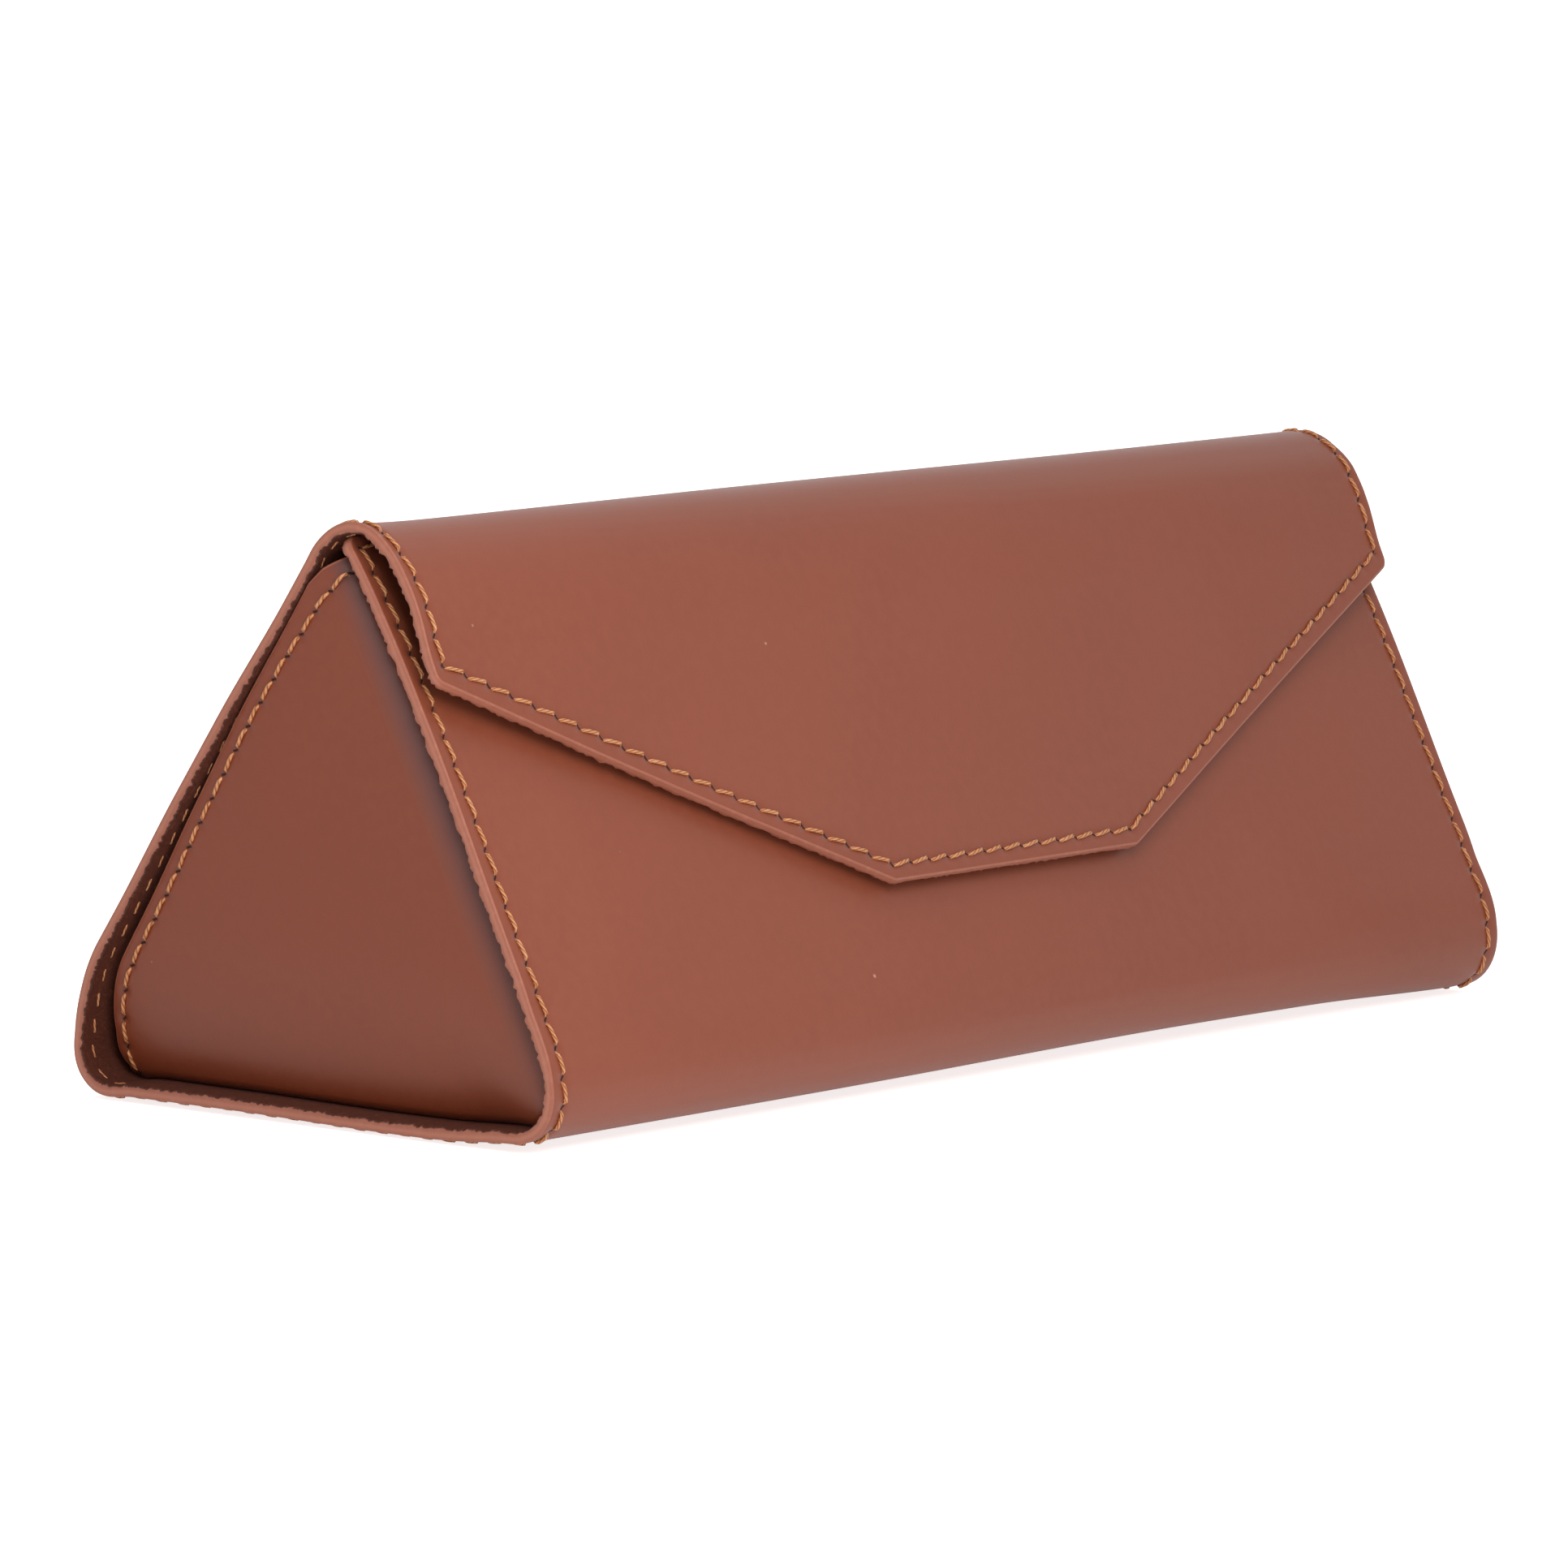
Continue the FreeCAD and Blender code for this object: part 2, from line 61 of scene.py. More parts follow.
# ---- driving sizes -------------------------------------------------------------------------------
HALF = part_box("front_and_base_leather")[1].x / MM
LEATHER = 1.35                         # thickness of the sheet
FRONT_REACH = 1.6                      # how far the front panel goes on past its start, up under the ridge
SECTION_START = (-7.607, 63.987)       # y, z of the front panel's top edge, outer face
SECTION_HEADING = -118.4655            # degrees from +Y towards +Z
# Each run of the CAD's section: its length and how far it turns, degrees.
SECTION_RUNS = (
    (49.999, 0.0), (13.931, 19.954), (10.316, 98.512),      # front panel, slow sweep, front foot
    (59.800, 0.0),                                          # base
    (9.298, 88.790), (12.161, 36.673), (55.757, 0.0),       # rear foot, slow sweep, back panel
    (17.402, 120.128), (42.146, 0.0),                       # rolled ridge, flap
)
RUN_ENDS = np.cumsum([0.0] + [length for length, turn in SECTION_RUNS])
BASE_START, BASE_END = RUN_ENDS[3], RUN_ENDS[4]
NOSE = RUN_ENDS[9]
BASE_SPLIT = (BASE_START + BASE_END) / 2
BACK_SPLIT = 185.0                     # s where the heel piece meets the flap piece

FLAP_SIDE = NOSE - 29.6                # s of the flap's side corners
NOSE_HALF = 21.8
FRONT_CORNER = 1.3                     # reach of the rounding at the sheet's cut corners
FLAP_CORNER = 0.8
ROW_MARGIN = 2.0                       # stitch rows stand this far inside the cut edge along the flap
# The side rows' own distance from the cut edge: s, then millimetres.
SIDE_ROW_MARGINS = (
    (14.0, 2.0), (68.0, 2.0), (80.0, 1.5), (130.0, 1.5), (140.0, 1.9), (200.0, 1.8), (214.0, 1.3),
    (225.0, 1.3), (231.0, 1.7),
)
TOP_ROW_MARGIN = 1.6                   # the front panel's top corners: the rows' distance from its sides
TOP_ROW_RAISE = 0.6                    # the row along the front panel's top stands nearer the edge
CORNER_ROW_RAISE = 0.5                 # so does the row's turn at the flap's side corner
STITCH_PITCH = 3.35
STITCH_LENGTH = 2.8
THREAD_RADIUS = 0.225
STITCH_SLANT = 0.17                    # each end of a stitch stands this far off the row's line
GUSSET_SLANT = 0.06

GUSSET_FLANGE_END = 74.0               # distance of the glued flange's hidden edge from the middle
GUSSET_TOP = -0.13                     # s of the gusset's top front corner
GUSSET_FRONT_BEND = 4.0
GUSSET_BASE_BEND = 1.1
GUSSET_LEAN = 3.4                      # how far its foot draws in towards the crease
GUSSET_LEAN_HEIGHT = 18.0
GLUE = 0.05
FAR_STRETCH = 0.8                      # the right end stands this much further out than the left


# ---- small tools ---------------------------------------------------------------------------------
def smooth(low, high, value):
    """0 below low, 1 above high, an S-curve between."""
    t = np.clip((value - low) / (high - low), 0.0, 1.0)
    return t * t * (3 - 2 * t)


def unit(vectors):
    """Vectors brought to length one."""
    return vectors / np.maximum(np.linalg.norm(vectors, axis=-1, keepdims=True), 1e-12)


def graded(length, bands, fine, coarse):
    """Places from 0 to length, `fine` apart inside a band at each end and `coarse` apart between."""
    first, last = bands
    start = np.linspace(0, first, max(1, round(first / fine)) + 1)
    middle = np.linspace(first, length - last, max(1, round((length - first - last) / coarse)) + 1)
    end = np.linspace(length - last, length, max(1, round(last / fine)) + 1)
    return np.unique(np.round(np.concatenate([start, middle, end]), 6))


# ---- the wrap's section --------------------------------------------------------------------------
def section_line():
    """The heading turns evenly along each run; the line is the running sum of that heading."""
    turns = np.array(SECTION_RUNS)[:, 1]
    headings = np.radians(SECTION_HEADING + np.concatenate([[0.0], np.cumsum(turns)]))
    s = np.linspace(-FRONT_REACH, RUN_ENDS[-1], 27001)
    heading = np.interp(s, RUN_ENDS, headings)
    middle = (heading[1:] + heading[:-1]) / 2
    steps = np.diff(s)
    y = np.concatenate([[0.0], np.cumsum(np.cos(middle) * steps)])
    z = np.concatenate([[0.0], np.cumsum(np.sin(middle) * steps)])
    y += SECTION_START[0] - FRONT_REACH * math.cos(headings[0])
    z += SECTION_START[1] - FRONT_REACH * math.sin(headings[0])
    return s, heading, y, z


LINE_S, LINE_HEADING, LINE_Y, LINE_Z = section_line()

# The worn sheet's swells and hollows at its left end.  Each rises over the first two places along the
# section, fades over the last two, and stands this far outwards between them, mm.
SWELLS = (
    (22.0, 54.0, 54.0, 62.5, -0.92),      # hollow above the front foot
    (69.0, 73.0, 74.0, 80.0, -0.15),      # foot pulled in
    (76.0, 88.0, 92.0, 118.0, 0.30),      # base sagging behind the front foot
    (76.0, 84.0, 136.0, 144.0, 0.17),     # base sagging all the way across
    (131.0, 138.0, 139.0, 144.5, 0.60),   # heel swollen
    (142.0, 150.0, 160.0, 177.0, -0.33),  # back panel drawn in above the heel
    (188.0, 205.0, 210.0, 217.0, -0.45),  # back shoulder of the ridge
    (214.0, 220.0, 221.0, 225.5, 0.42),   # front shoulder of the ridge
    (226.5, 232.0, 233.0, 239.0, 0.46),   # flap swollen below its bend
    (240.0, 254.0, 257.0, 272.0, -0.50),  # flap hollow
)


def settle(s, x):
    """How far the worn sheet stands off its true section, outwards, at sheet place (s, x).

    It is the sum of the swells and of the front panel's top leaning in, except that the ridge lies
    lower away from the left end, the front foot hollows along the middle, and the foot and the front
    panel stand out a little towards the right end.
    """
    near = np.exp(-(HALF + x) / 4.0)
    ridge = smooth(203.0, 212.0, s) * (1 - smooth(224.0, 229.0, s))
    foot = smooth(54.0, 64.0, s) * (1 - smooth(72.0, 80.0, s))
    front = smooth(3.0, 20.0, s) * (1 - smooth(56.0, 66.0, s))
    foot_along = 0.6 * smooth(55.0, 85.0, x) - 0.45 * np.exp(-((x - 25.0) / 38.0) ** 2)
    lean = -0.88 * np.exp(-s / 6.0) * (1 - smooth(8.0, 16.0, s))
    shape = lean + sum(height * smooth(a, b, s) * (1 - smooth(c, d, s)) for a, b, c, d, height in SWELLS)
    sunk = 0.30 * (1 - near) + 0.34 * smooth(-30.0, 60.0, x)
    worn = shape * (1 - ridge * (1 - near)) - sunk * ridge
    return worn + foot * foot_along + 0.6 * smooth(30.0, 85.0, x) * front


def on_wrap(s, x, out):
    """Sheet space to the case: the section's point at s, moved `out` along its outward normal."""
    heading = np.interp(s, LINE_S, LINE_HEADING)
    out = out + settle(s, x)
    y = np.interp(s, LINE_S, LINE_Y) + np.sin(heading) * out
    z = np.interp(s, LINE_S, LINE_Z) - np.cos(heading) * out
    x = x + FAR_STRETCH * smooth(-20.0, HALF, x)
    return np.stack([x + 0 * s, y, z + 0 * x], axis=-1)


def wrap_frame(s):
    """Unit vectors on the wrap at s: along the section, along the case, and outwards."""
    heading = np.interp(s, LINE_S, LINE_HEADING)
    zero = np.zeros_like(heading)
    along = np.stack([zero, np.cos(heading), np.sin(heading)], axis=-1)
    across = np.stack([zero + 1.0, zero, zero], axis=-1)
    outward = np.stack([zero, np.sin(heading), -np.cos(heading)], axis=-1)
    return along, across, outward


def flap_outline(margin):
    """The flap's side corner s, nose s and nose half width, a margin inside the cut edge."""
    rise = NOSE - FLAP_SIDE
    run = HALF - NOSE_HALF
    slant = math.hypot(rise, run)
    return FLAP_SIDE - margin * (slant - rise) / run, NOSE - margin, NOSE_HALF - margin * (slant - run) / rise


# ---- stitch rows ---------------------------------------------------------------------------------
class Row:
    """A stitch row as a polyline in sheet space.  side is +1 where the sheet lies anticlockwise of it."""

    def __init__(self, points, side):
        self.points = np.array(points, float)
        steps = np.diff(self.points, axis=0)
        self.lengths = np.linalg.norm(steps, axis=1)
        self.starts = np.concatenate([[0.0], np.cumsum(self.lengths)])
        self.tangents = steps / self.lengths[:, None]
        self.normals = side * np.stack([-self.tangents[:, 1], self.tangents[:, 0]], axis=1)
        self.count = max(1, round(self.starts[-1] / STITCH_PITCH))
        self.pitch = self.starts[-1] / self.count

    def nearest(self, places):
        """Index of the nearest straight stretch of the row to each place."""
        offset = places[:, None, :] - self.points[None, :-1, :]
        along = np.clip((offset * self.tangents).sum(-1), 0.0, self.lengths)
        gap = offset - along[..., None] * self.tangents
        squares = (gap ** 2).sum(-1)
        return np.argmin(squares, axis=1), np.sqrt(np.min(squares, axis=1))

    def coordinates(self, places, stretch):
        """(distance along the row in stitches, distance inwards in mm) against a given stretch."""
        offset = places - self.points[stretch]
        along = (offset * self.tangents[stretch]).sum(-1) + self.starts[stretch]
        return np.stack([along / self.pitch, (offset * self.normals[stretch]).sum(-1)], axis=-1)

    def at(self, distance):
        """Place, direction and inward normal at distances along the row."""
        stretch = np.clip(np.searchsorted(self.starts, distance, side="right") - 1, 0, len(self.lengths) - 1)
        place = self.points[stretch] + self.tangents[stretch] * (distance - self.starts[stretch])[:, None]
        return place, self.tangents[stretch], self.normals[stretch]


def wrap_rows():
    """The rows that run unbroken round the wrap's cut edge, anticlockwise seen from outside."""
    side_s, nose_s, nose_x = flap_outline(ROW_MARGIN)
    first = (ROW_MARGIN - FRONT_REACH - TOP_ROW_RAISE, HALF - TOP_ROW_MARGIN)
    last = (side_s - CORNER_ROW_RAISE, HALF - SIDE_ROW_MARGINS[-1][1])
    side = np.array([first, *((place, HALF - margin) for place, margin in SIDE_ROW_MARGINS), last])
    left = side * (1, -1)
    return {
        "left": Row(left, 1),
        "left_slant": Row([left[-1], (nose_s, -nose_x)], 1),
        "nose": Row([(nose_s, -nose_x), (nose_s, nose_x)], 1),
        "right_slant": Row([(nose_s, nose_x), side[-1]], 1),
        "right": Row(side[::-1], 1),
        "front_top": Row([side[0], left[0]], 1),
    }


ROWS = wrap_rows()
FLAP_ROWS = ("left", "left_slant", "nose", "right_slant", "right")


def row_map(rows, corners):
    """Row coordinates of face corners (faces x corners x 2), each face against its nearest row."""
    centres = corners.mean(axis=1)
    best = np.full(len(centres), np.inf)
    made = np.full(corners.shape, 50.0)
    for row in rows:
        stretch, gap = row.nearest(centres)
        nearer = gap < best
        best = np.where(nearer, gap, best)
        picked = np.stack([row.coordinates(corners[:, k], stretch) for k in range(corners.shape[1])], axis=1)
        made[nearer] = picked[nearer]
    return made


def pull_of(rows, places):
    """How far the tight thread draws the leather in: a shallow trough with a dimple at each hole."""
    depth = np.zeros(len(places))
    for row in rows:
        stretch, gap = row.nearest(places)
        u = row.coordinates(places, stretch)[:, 0]
        hole = (np.mod(u + 0.5, 1.0) - 0.5) * row.pitch
        here = 0.07 * np.exp(-(gap / 0.55) ** 2) + 0.20 * np.exp(-(hole / 0.55) ** 2 - (gap / 0.6) ** 2)
        depth = np.maximum(depth, here)
    return depth


# ---- cut sheets of leather -----------------------------------------------------------------------
# The cut edge's profile from the grain side to the flesh side: share of the thickness, and how far it
# falls back from the full width.
EDGE_SHARES = np.array([0.0, 0.05, 0.15, 0.3, 0.5, 0.7, 0.85, 0.95, 1.0])
EDGE_ROUNDING = 0.30
EDGE_FALL = EDGE_ROUNDING * ((1 - np.abs(2 * EDGE_SHARES - 1) ** 3.2) ** (1 / 3.2) - 1)
EDGE_RAGGED = 0.11                     # how far fibres at the flesh corner stray


def grid_faces(rows, columns):
    """Quads of a rows x columns grid of points, anticlockwise seen from the grain side."""
    index = np.arange(rows * columns).reshape(rows, columns)
    return np.stack([index[:-1, :-1], index[1:, :-1], index[1:, 1:], index[:-1, 1:]], -1).reshape(-1, 4)


def grid_loop(rows, columns):
    """The grid's rim, anticlockwise seen from the grain side, from the first row's first point."""
    index = np.arange(rows * columns).reshape(rows, columns)
    return np.concatenate([index[:-1, 0], index[-1, :-1], index[:0:-1, -1], index[0, :0:-1]])


def rim_directions(rim):
    """Unit direction of travel at each point of a closed rim: the mean of the ways in and out."""
    ahead = np.roll(rim, -1, axis=0)
    behind = np.roll(rim, 1, axis=0)
    return unit(unit(ahead - rim) + unit(rim - behind))


def make_mesh(name, points, groups, materials, mirror=False, sharp=None):
    """A piece from points in mm and groups of (faces, material number, {map: corner values})."""
    if mirror:
        points = points * np.array([-1.0, 1.0, 1.0]) + np.array([FAR_STRETCH, 0.0, 0.0])
        groups = [(f[:, ::-1], m, {k: c[:, ::-1] for k, c in maps.items()}) for f, m, maps in groups]
    mesh = bpy.data.meshes.new(name)
    mesh.from_pydata((points * MM).tolist(), [], [face for f, m, maps in groups for face in f.tolist()])
    numbers = np.concatenate([np.full(len(f), m, np.int32) for f, m, maps in groups])
    mesh.polygons.foreach_set("material_index", numbers)
    mesh.polygons.foreach_set("use_smooth", np.ones(len(numbers), bool))
    for key in groups[0][2]:
        values = np.concatenate([maps[key].reshape(-1, 2) for f, m, maps in groups])
        mesh.uv_layers.new(name=key).uv.foreach_set("vector", values.astype(np.float32).ravel())
    if sharp is not None:
        ends = np.zeros(len(mesh.edges) * 2, np.int32)
        mesh.edges.foreach_get("vertices", ends)
        mesh.edges.foreach_set("use_edge_sharp", sharp[ends.reshape(-1, 2)].all(axis=1))
    mesh.update()
    piece = bpy.data.objects.new(name, mesh)
    bpy.context.scene.collection.objects.link(piece)
    for material in materials:
        mesh.materials.append(material)
    return piece


def cut_sheet(name, flat, place, outward, relief, loop, edge_out, faces, rows, materials,
              mirror=False, seam=None, thick=LEATHER):
    """A closed sheet of leather.

    Its grain side is `place` lowered by `relief` along `outward`; its flesh side is `place` one
    thickness inwards; between the two, the rim follows the rounded cut-edge profile, pushed along
    `edge_out`, a unit vector per rim point (zero where two pieces of one sheet meet).
    """
    count = len(place)
    rings = len(EDGE_SHARES) - 2
    around = len(loop)
    shares = EDGE_SHARES[1:-1, None, None]
    reach = (EDGE_FALL[1:-1] + EDGE_ROUNDING)[:, None, None]
    free = np.ones(around) if seam is None else 1.0 - seam[loop]
    stray = np.random.default_rng(len(name)).normal(size=(2, around)).clip(-1.6, 1.6) * EDGE_RAGGED * free
    growth = smooth(0.6, 1.0, shares)
    rim = place[loop] - outward[loop] * (shares * thick + growth * stray[0][None, :, None])
    rim = rim + edge_out * (reach + growth * stray[1][None, :, None])
    flesh = place - outward * thick
    flesh[loop] -= outward[loop] * stray[0][:, None] - edge_out * stray[1][:, None]
    points = np.concatenate([place - outward * relief[:, None], flesh, rim.reshape(-1, 3)])
    ring_index = np.concatenate([
        loop[None], 2 * count + np.arange(rings * around).reshape(rings, around), count + loop[None],
    ])
    following = np.roll(ring_index, -1, axis=1)
    rim_faces = np.stack([ring_index[:-1], ring_index[1:], following[1:], following[:-1]], -1).reshape(-1, 4)

    step = np.linalg.norm(np.roll(place[loop], -1, axis=0) - place[loop], axis=1)
    run = np.concatenate([[0.0], np.cumsum(step)])
    share = np.broadcast_to(EDGE_SHARES[:, None], (rings + 2, around))
    low, high = np.broadcast_to(run[:-1], share.shape), np.broadcast_to(run[1:], share.shape)
    corner = [(low[:-1], share[:-1]), (low[1:], share[1:]), (high[1:], share[1:]), (high[:-1], share[:-1])]
    edge_map = np.stack([np.stack(pair, -1).reshape(-1, 2) for pair in corner], axis=1)
    nowhere = np.full((len(rim_faces), 4, 2), 50.0)
    rim_flat = flat[loop]
    rim_next = np.roll(rim_flat, -1, axis=0)
    rim_corner = np.stack([rim_flat, rim_flat, rim_next, rim_next], axis=1)
    rim_map = np.tile(rim_corner, (rings + 1, 1, 1))

    groups = [(rim_faces, 1, {"flat": rim_map, "row": nowhere, "edge": edge_map})]
    for group in faces:
        corners = flat[group]
        maps = {"flat": corners, "row": row_map(rows, corners), "edge": np.zeros_like(corners)}
        groups.append((group, 0, maps))
        groups.append((group[:, ::-1] + count, 2, {key: value[:, ::-1] for key, value in maps.items()}))
    sharp = None
    if seam is not None:
        sharp = np.concatenate([seam, seam, np.tile(seam[loop], rings)])
    return make_mesh(name, points, groups, materials, mirror, sharp)


def round_corner(flat, corner, first, second, reach):
    """Rounds one corner of a flat sheet.

    A point is measured from the corner along its two edges.  Inside the reach, that small square is
    mapped onto a quarter disc, which turns the corner's two edges into one arc.
    """
    basis = np.linalg.inv(np.array([first, second]).T)
    a, b = (basis @ (flat - corner).T)
    p, q = reach - a, reach - b
    inside = (p > 0) & (q > 0) & (p < reach * 1.001) & (q < reach * 1.001)
    moved_p = p * np.sqrt(1 - q ** 2 / (2 * reach ** 2) * inside)
    moved_q = q * np.sqrt(1 - p ** 2 / (2 * reach ** 2) * inside)
    new = corner + np.outer(reach - moved_p, first) + np.outer(reach - moved_q, second)
    return np.where(inside[:, None], new, flat)


def wrap_piece(name, grid, fine=None, corners=(), seams=(), stitched=()):
    """A stretch of the wrap from a grid of (s, x) places, with some corners rounded.

    Where `fine` is given it is a second grid of closer columns beyond the first, joined to it by a
    line of triangles.  At a seam in s the piece ends square, to meet its neighbour; `stitched`
    names the rows that draw the leather in.
    """
    s_grid, x_grid = grid
    flat = np.stack([s_grid, x_grid], -1).reshape(-1, 2)
    faces = [grid_faces(*s_grid.shape)]
    loop = grid_loop(*s_grid.shape)
    if fine is not None:
        fine_s, fine_x = fine
        base = len(flat)
        flat = np.concatenate([flat, np.stack([fine_s, fine_x], -1).reshape(-1, 2)])
        faces[0] = np.concatenate([faces[0], grid_faces(*fine_s.shape) + base])
        upper = np.arange(base).reshape(s_grid.shape)
        lower = (base + np.arange(fine_s.size)).reshape(fine_s.shape)
        faces.append(stepped_join(upper[-1], lower[0], x_grid[-1], fine_x[0]))
        loop = np.concatenate([
            upper[:, 0], lower[:-1, 0], lower[-1, :-1], lower[:0:-1, -1], lower[0, -1:],
            upper[:0:-1, -1], upper[0, :0:-1],
        ])
    for corner in corners:
        flat = round_corner(flat, *corner)
    rim = flat[loop]
    tangent = rim_directions(rim)
    push = np.stack([tangent[:, 1], -tangent[:, 0]], axis=1)
    at_seam = np.zeros(len(flat), bool)
    for seam in seams:
        at_seam |= np.abs(flat[:, 0] - seam) < 1e-4
    on_side = np.abs(rim[:, 1]) > HALF - EDGE_ROUNDING - 1e-3
    push[at_seam[loop]] = 0.0
    ends = at_seam[loop] & on_side
    push[ends, 1] = np.sign(rim[ends, 1])
    along, across, outward = wrap_frame(flat[:, 0])
    edge_out = along[loop] * push[:, :1] + across[loop] * push[:, 1:]
    place = on_wrap(flat[:, 0], flat[:, 1], 0.0)
    rows_here = [ROWS[key] for key in stitched]
    relief = pull_of(rows_here, flat)
    return cut_sheet(name, flat, place, outward, relief, loop, edge_out, faces, rows_here,
                     WRAP_MATERIALS, seam=at_seam)


def stepped_join(coarse_row, fine_row, coarse, fine):
    """Triangles between a coarse line of points and a finer one that holds all of its places."""
    middles = (fine[1:] + fine[:-1]) / 2
    centres = (coarse[1:] + coarse[:-1]) / 2
    bay = np.clip(np.searchsorted(coarse, middles) - 1, 0, len(centres) - 1)
    apex = np.where(middles > centres[bay], coarse_row[bay + 1], coarse_row[bay])
    fans = np.stack([apex, fine_row[:-1], fine_row[1:]], axis=1)
    first_right = fine_row[np.searchsorted(middles, centres, side="right")]
    bridges = np.stack([coarse_row[:-1], first_right, coarse_row[1:]], axis=1)
    return np.concatenate([fans, bridges])


# ---- shader groups -------------------------------------------------------------------------------
class Net:
    """Shorthand for building a node tree: every method adds nodes and returns an output socket."""

    def __init__(self, tree):
        self.tree = tree

    def add(self, kind, **settings):
        node = self.tree.nodes.new(kind)
        for key, value in settings.items():
            setattr(node, key, value)
        return node

    def put(self, socket, value):
        if isinstance(value, bpy.types.NodeSocket):
            self.tree.links.new(value, socket)
        elif value is not None:
            socket.default_value = value

    def math(self, operation, a, b=None, c=None):
        node = self.add("ShaderNodeMath", operation=operation)
        for socket, value in zip(node.inputs, (a, b, c)):
            self.put(socket, value)
        return node.outputs[0]

    def ramp(self, value, low, high, to_low=0.0, to_high=1.0):
        node = self.add("ShaderNodeMapRange", interpolation_type="SMOOTHSTEP")
        for socket, item in zip(node.inputs, (value, low, high, to_low, to_high)):
            self.put(socket, item)
        return node.outputs[0]

    def mix(self, share, a, b):
        node = self.add("ShaderNodeMix", data_type="RGBA")
        for index, value in ((0, share), (6, a), (7, b)):
            self.put(node.inputs[index], value)
        return node.outputs[2]

    def noise(self, vector, scale, detail=2.0, roughness=0.5, distortion=0.0):
        node = self.add("ShaderNodeTexNoise")
        for key, value in (("Vector", vector), ("Scale", scale), ("Detail", detail),
                           ("Roughness", roughness), ("Distortion", distortion)):
            self.put(node.inputs[key], value)
        return node.outputs["Fac"]

    def cells(self, vector, scale):
        node = self.add("ShaderNodeTexVoronoi")
        for key, value in (("Vector", vector), ("Scale", scale)):
            self.put(node.inputs[key], value)
        return node.outputs["Distance"]

    def stretch(self, vector, scale, turn=(0.0, 0.0, 0.0)):
        node = self.add("ShaderNodeMapping", vector_type="POINT")
        self.put(node.inputs["Vector"], vector)
        node.inputs["Scale"].default_value = scale
        node.inputs["Rotation"].default_value = turn
        return node.outputs[0]

    def parts(self, vector):
        node = self.add("ShaderNodeSeparateXYZ")
        self.put(node.inputs[0], vector)
        return node.outputs

    def bump(self, height, distance, strength=1.0):
        node = self.add("ShaderNodeBump")
        for key, value in (("Height", height), ("Distance", distance), ("Strength", strength)):
            self.put(node.inputs[key], value)
        return node.outputs[0]

    def map(self, name):
        return self.add("ShaderNodeUVMap", uv_map=name).outputs[0]


def group(name, inputs, outputs, build):
    """A node group with named sockets.  build gets the net and the input sockets by name."""
    tree = bpy.data.node_groups.new(name, "ShaderNodeTree")
    for label, kind, default in inputs:
        socket = tree.interface.new_socket(name=label, in_out="INPUT", socket_type=kind)
        if default is not None:
            socket.default_value = default
    for label, kind in outputs:
        tree.interface.new_socket(name=label, in_out="OUTPUT", socket_type=kind)
    net = Net(tree)
    inlet = net.add("NodeGroupInput")
    outlet = net.add("NodeGroupOutput")
    for label, socket in build(net, inlet.outputs).items():
        net.put(outlet.inputs[label], socket)
    return tree


FLOAT, COLOUR, VECTOR = "NodeSocketFloat", "NodeSocketColor", "NodeSocketVector"


def build_grain(net, given):
    """Smooth dyed calf: broad cloudy dye, finer mottling, tight pores, a few pale flecks."""
    sheet = given["Sheet"]
    cloud = net.noise(sheet, 0.035, 2.0, 0.5, 0.3)
    mottle = net.noise(sheet, 0.6, 4.0, 0.6)
    streak = net.noise(net.stretch(sheet, (0.9, 0.12, 1.0)), 1.0, 3.0, 0.6)
    pores = net.cells(sheet, given["Pores"])
    fine = net.noise(sheet, 9.0, 3.0, 0.6)
    fleck_field = net.cells(sheet, 0.075)
    fleck = net.ramp(fleck_field, 0.010, 0.022, 1.0, 0.0)
    tone = net.mix(net.ramp(cloud, 0.2, 0.8), given["Deep"], given["Warm"])
    tone = net.mix(net.math("MULTIPLY", net.ramp(mottle, 0.3, 0.75), given["Mottling"]), tone, given["Pale"])
    tone = net.mix(net.math("MULTIPLY", net.ramp(streak, 0.45, 0.8), 0.12), tone, given["Deep"])
    tone = net.mix(net.math("MULTIPLY", fleck, 0.55), tone, given["Fleck"])
    height = net.math("ADD", net.math("MULTIPLY", pores, 0.55), net.math("MULTIPLY", fine, 0.6))
    height = net.math("ADD", height, net.math("MULTIPLY", mottle, 0.5))
    shine = net.math("ADD", net.math("MULTIPLY", mottle, 0.10), net.math("MULTIPLY", cloud, 0.10))
    return {"Tone": tone, "Height": height, "Shine": shine}


GRAIN = group("hide_grain", [
    ("Sheet", VECTOR, None), ("Pores", FLOAT, 5.5), ("Mottling", FLOAT, 0.35),
    ("Deep", COLOUR, (0.24, 0.085, 0.05, 1)), ("Warm", COLOUR, (0.32, 0.115, 0.072, 1)),
    ("Pale", COLOUR, (0.36, 0.14, 0.09, 1)), ("Fleck", COLOUR, (0.6, 0.36, 0.26, 1)),
], [("Tone", COLOUR), ("Height", FLOAT), ("Shine", FLOAT)], build_grain)


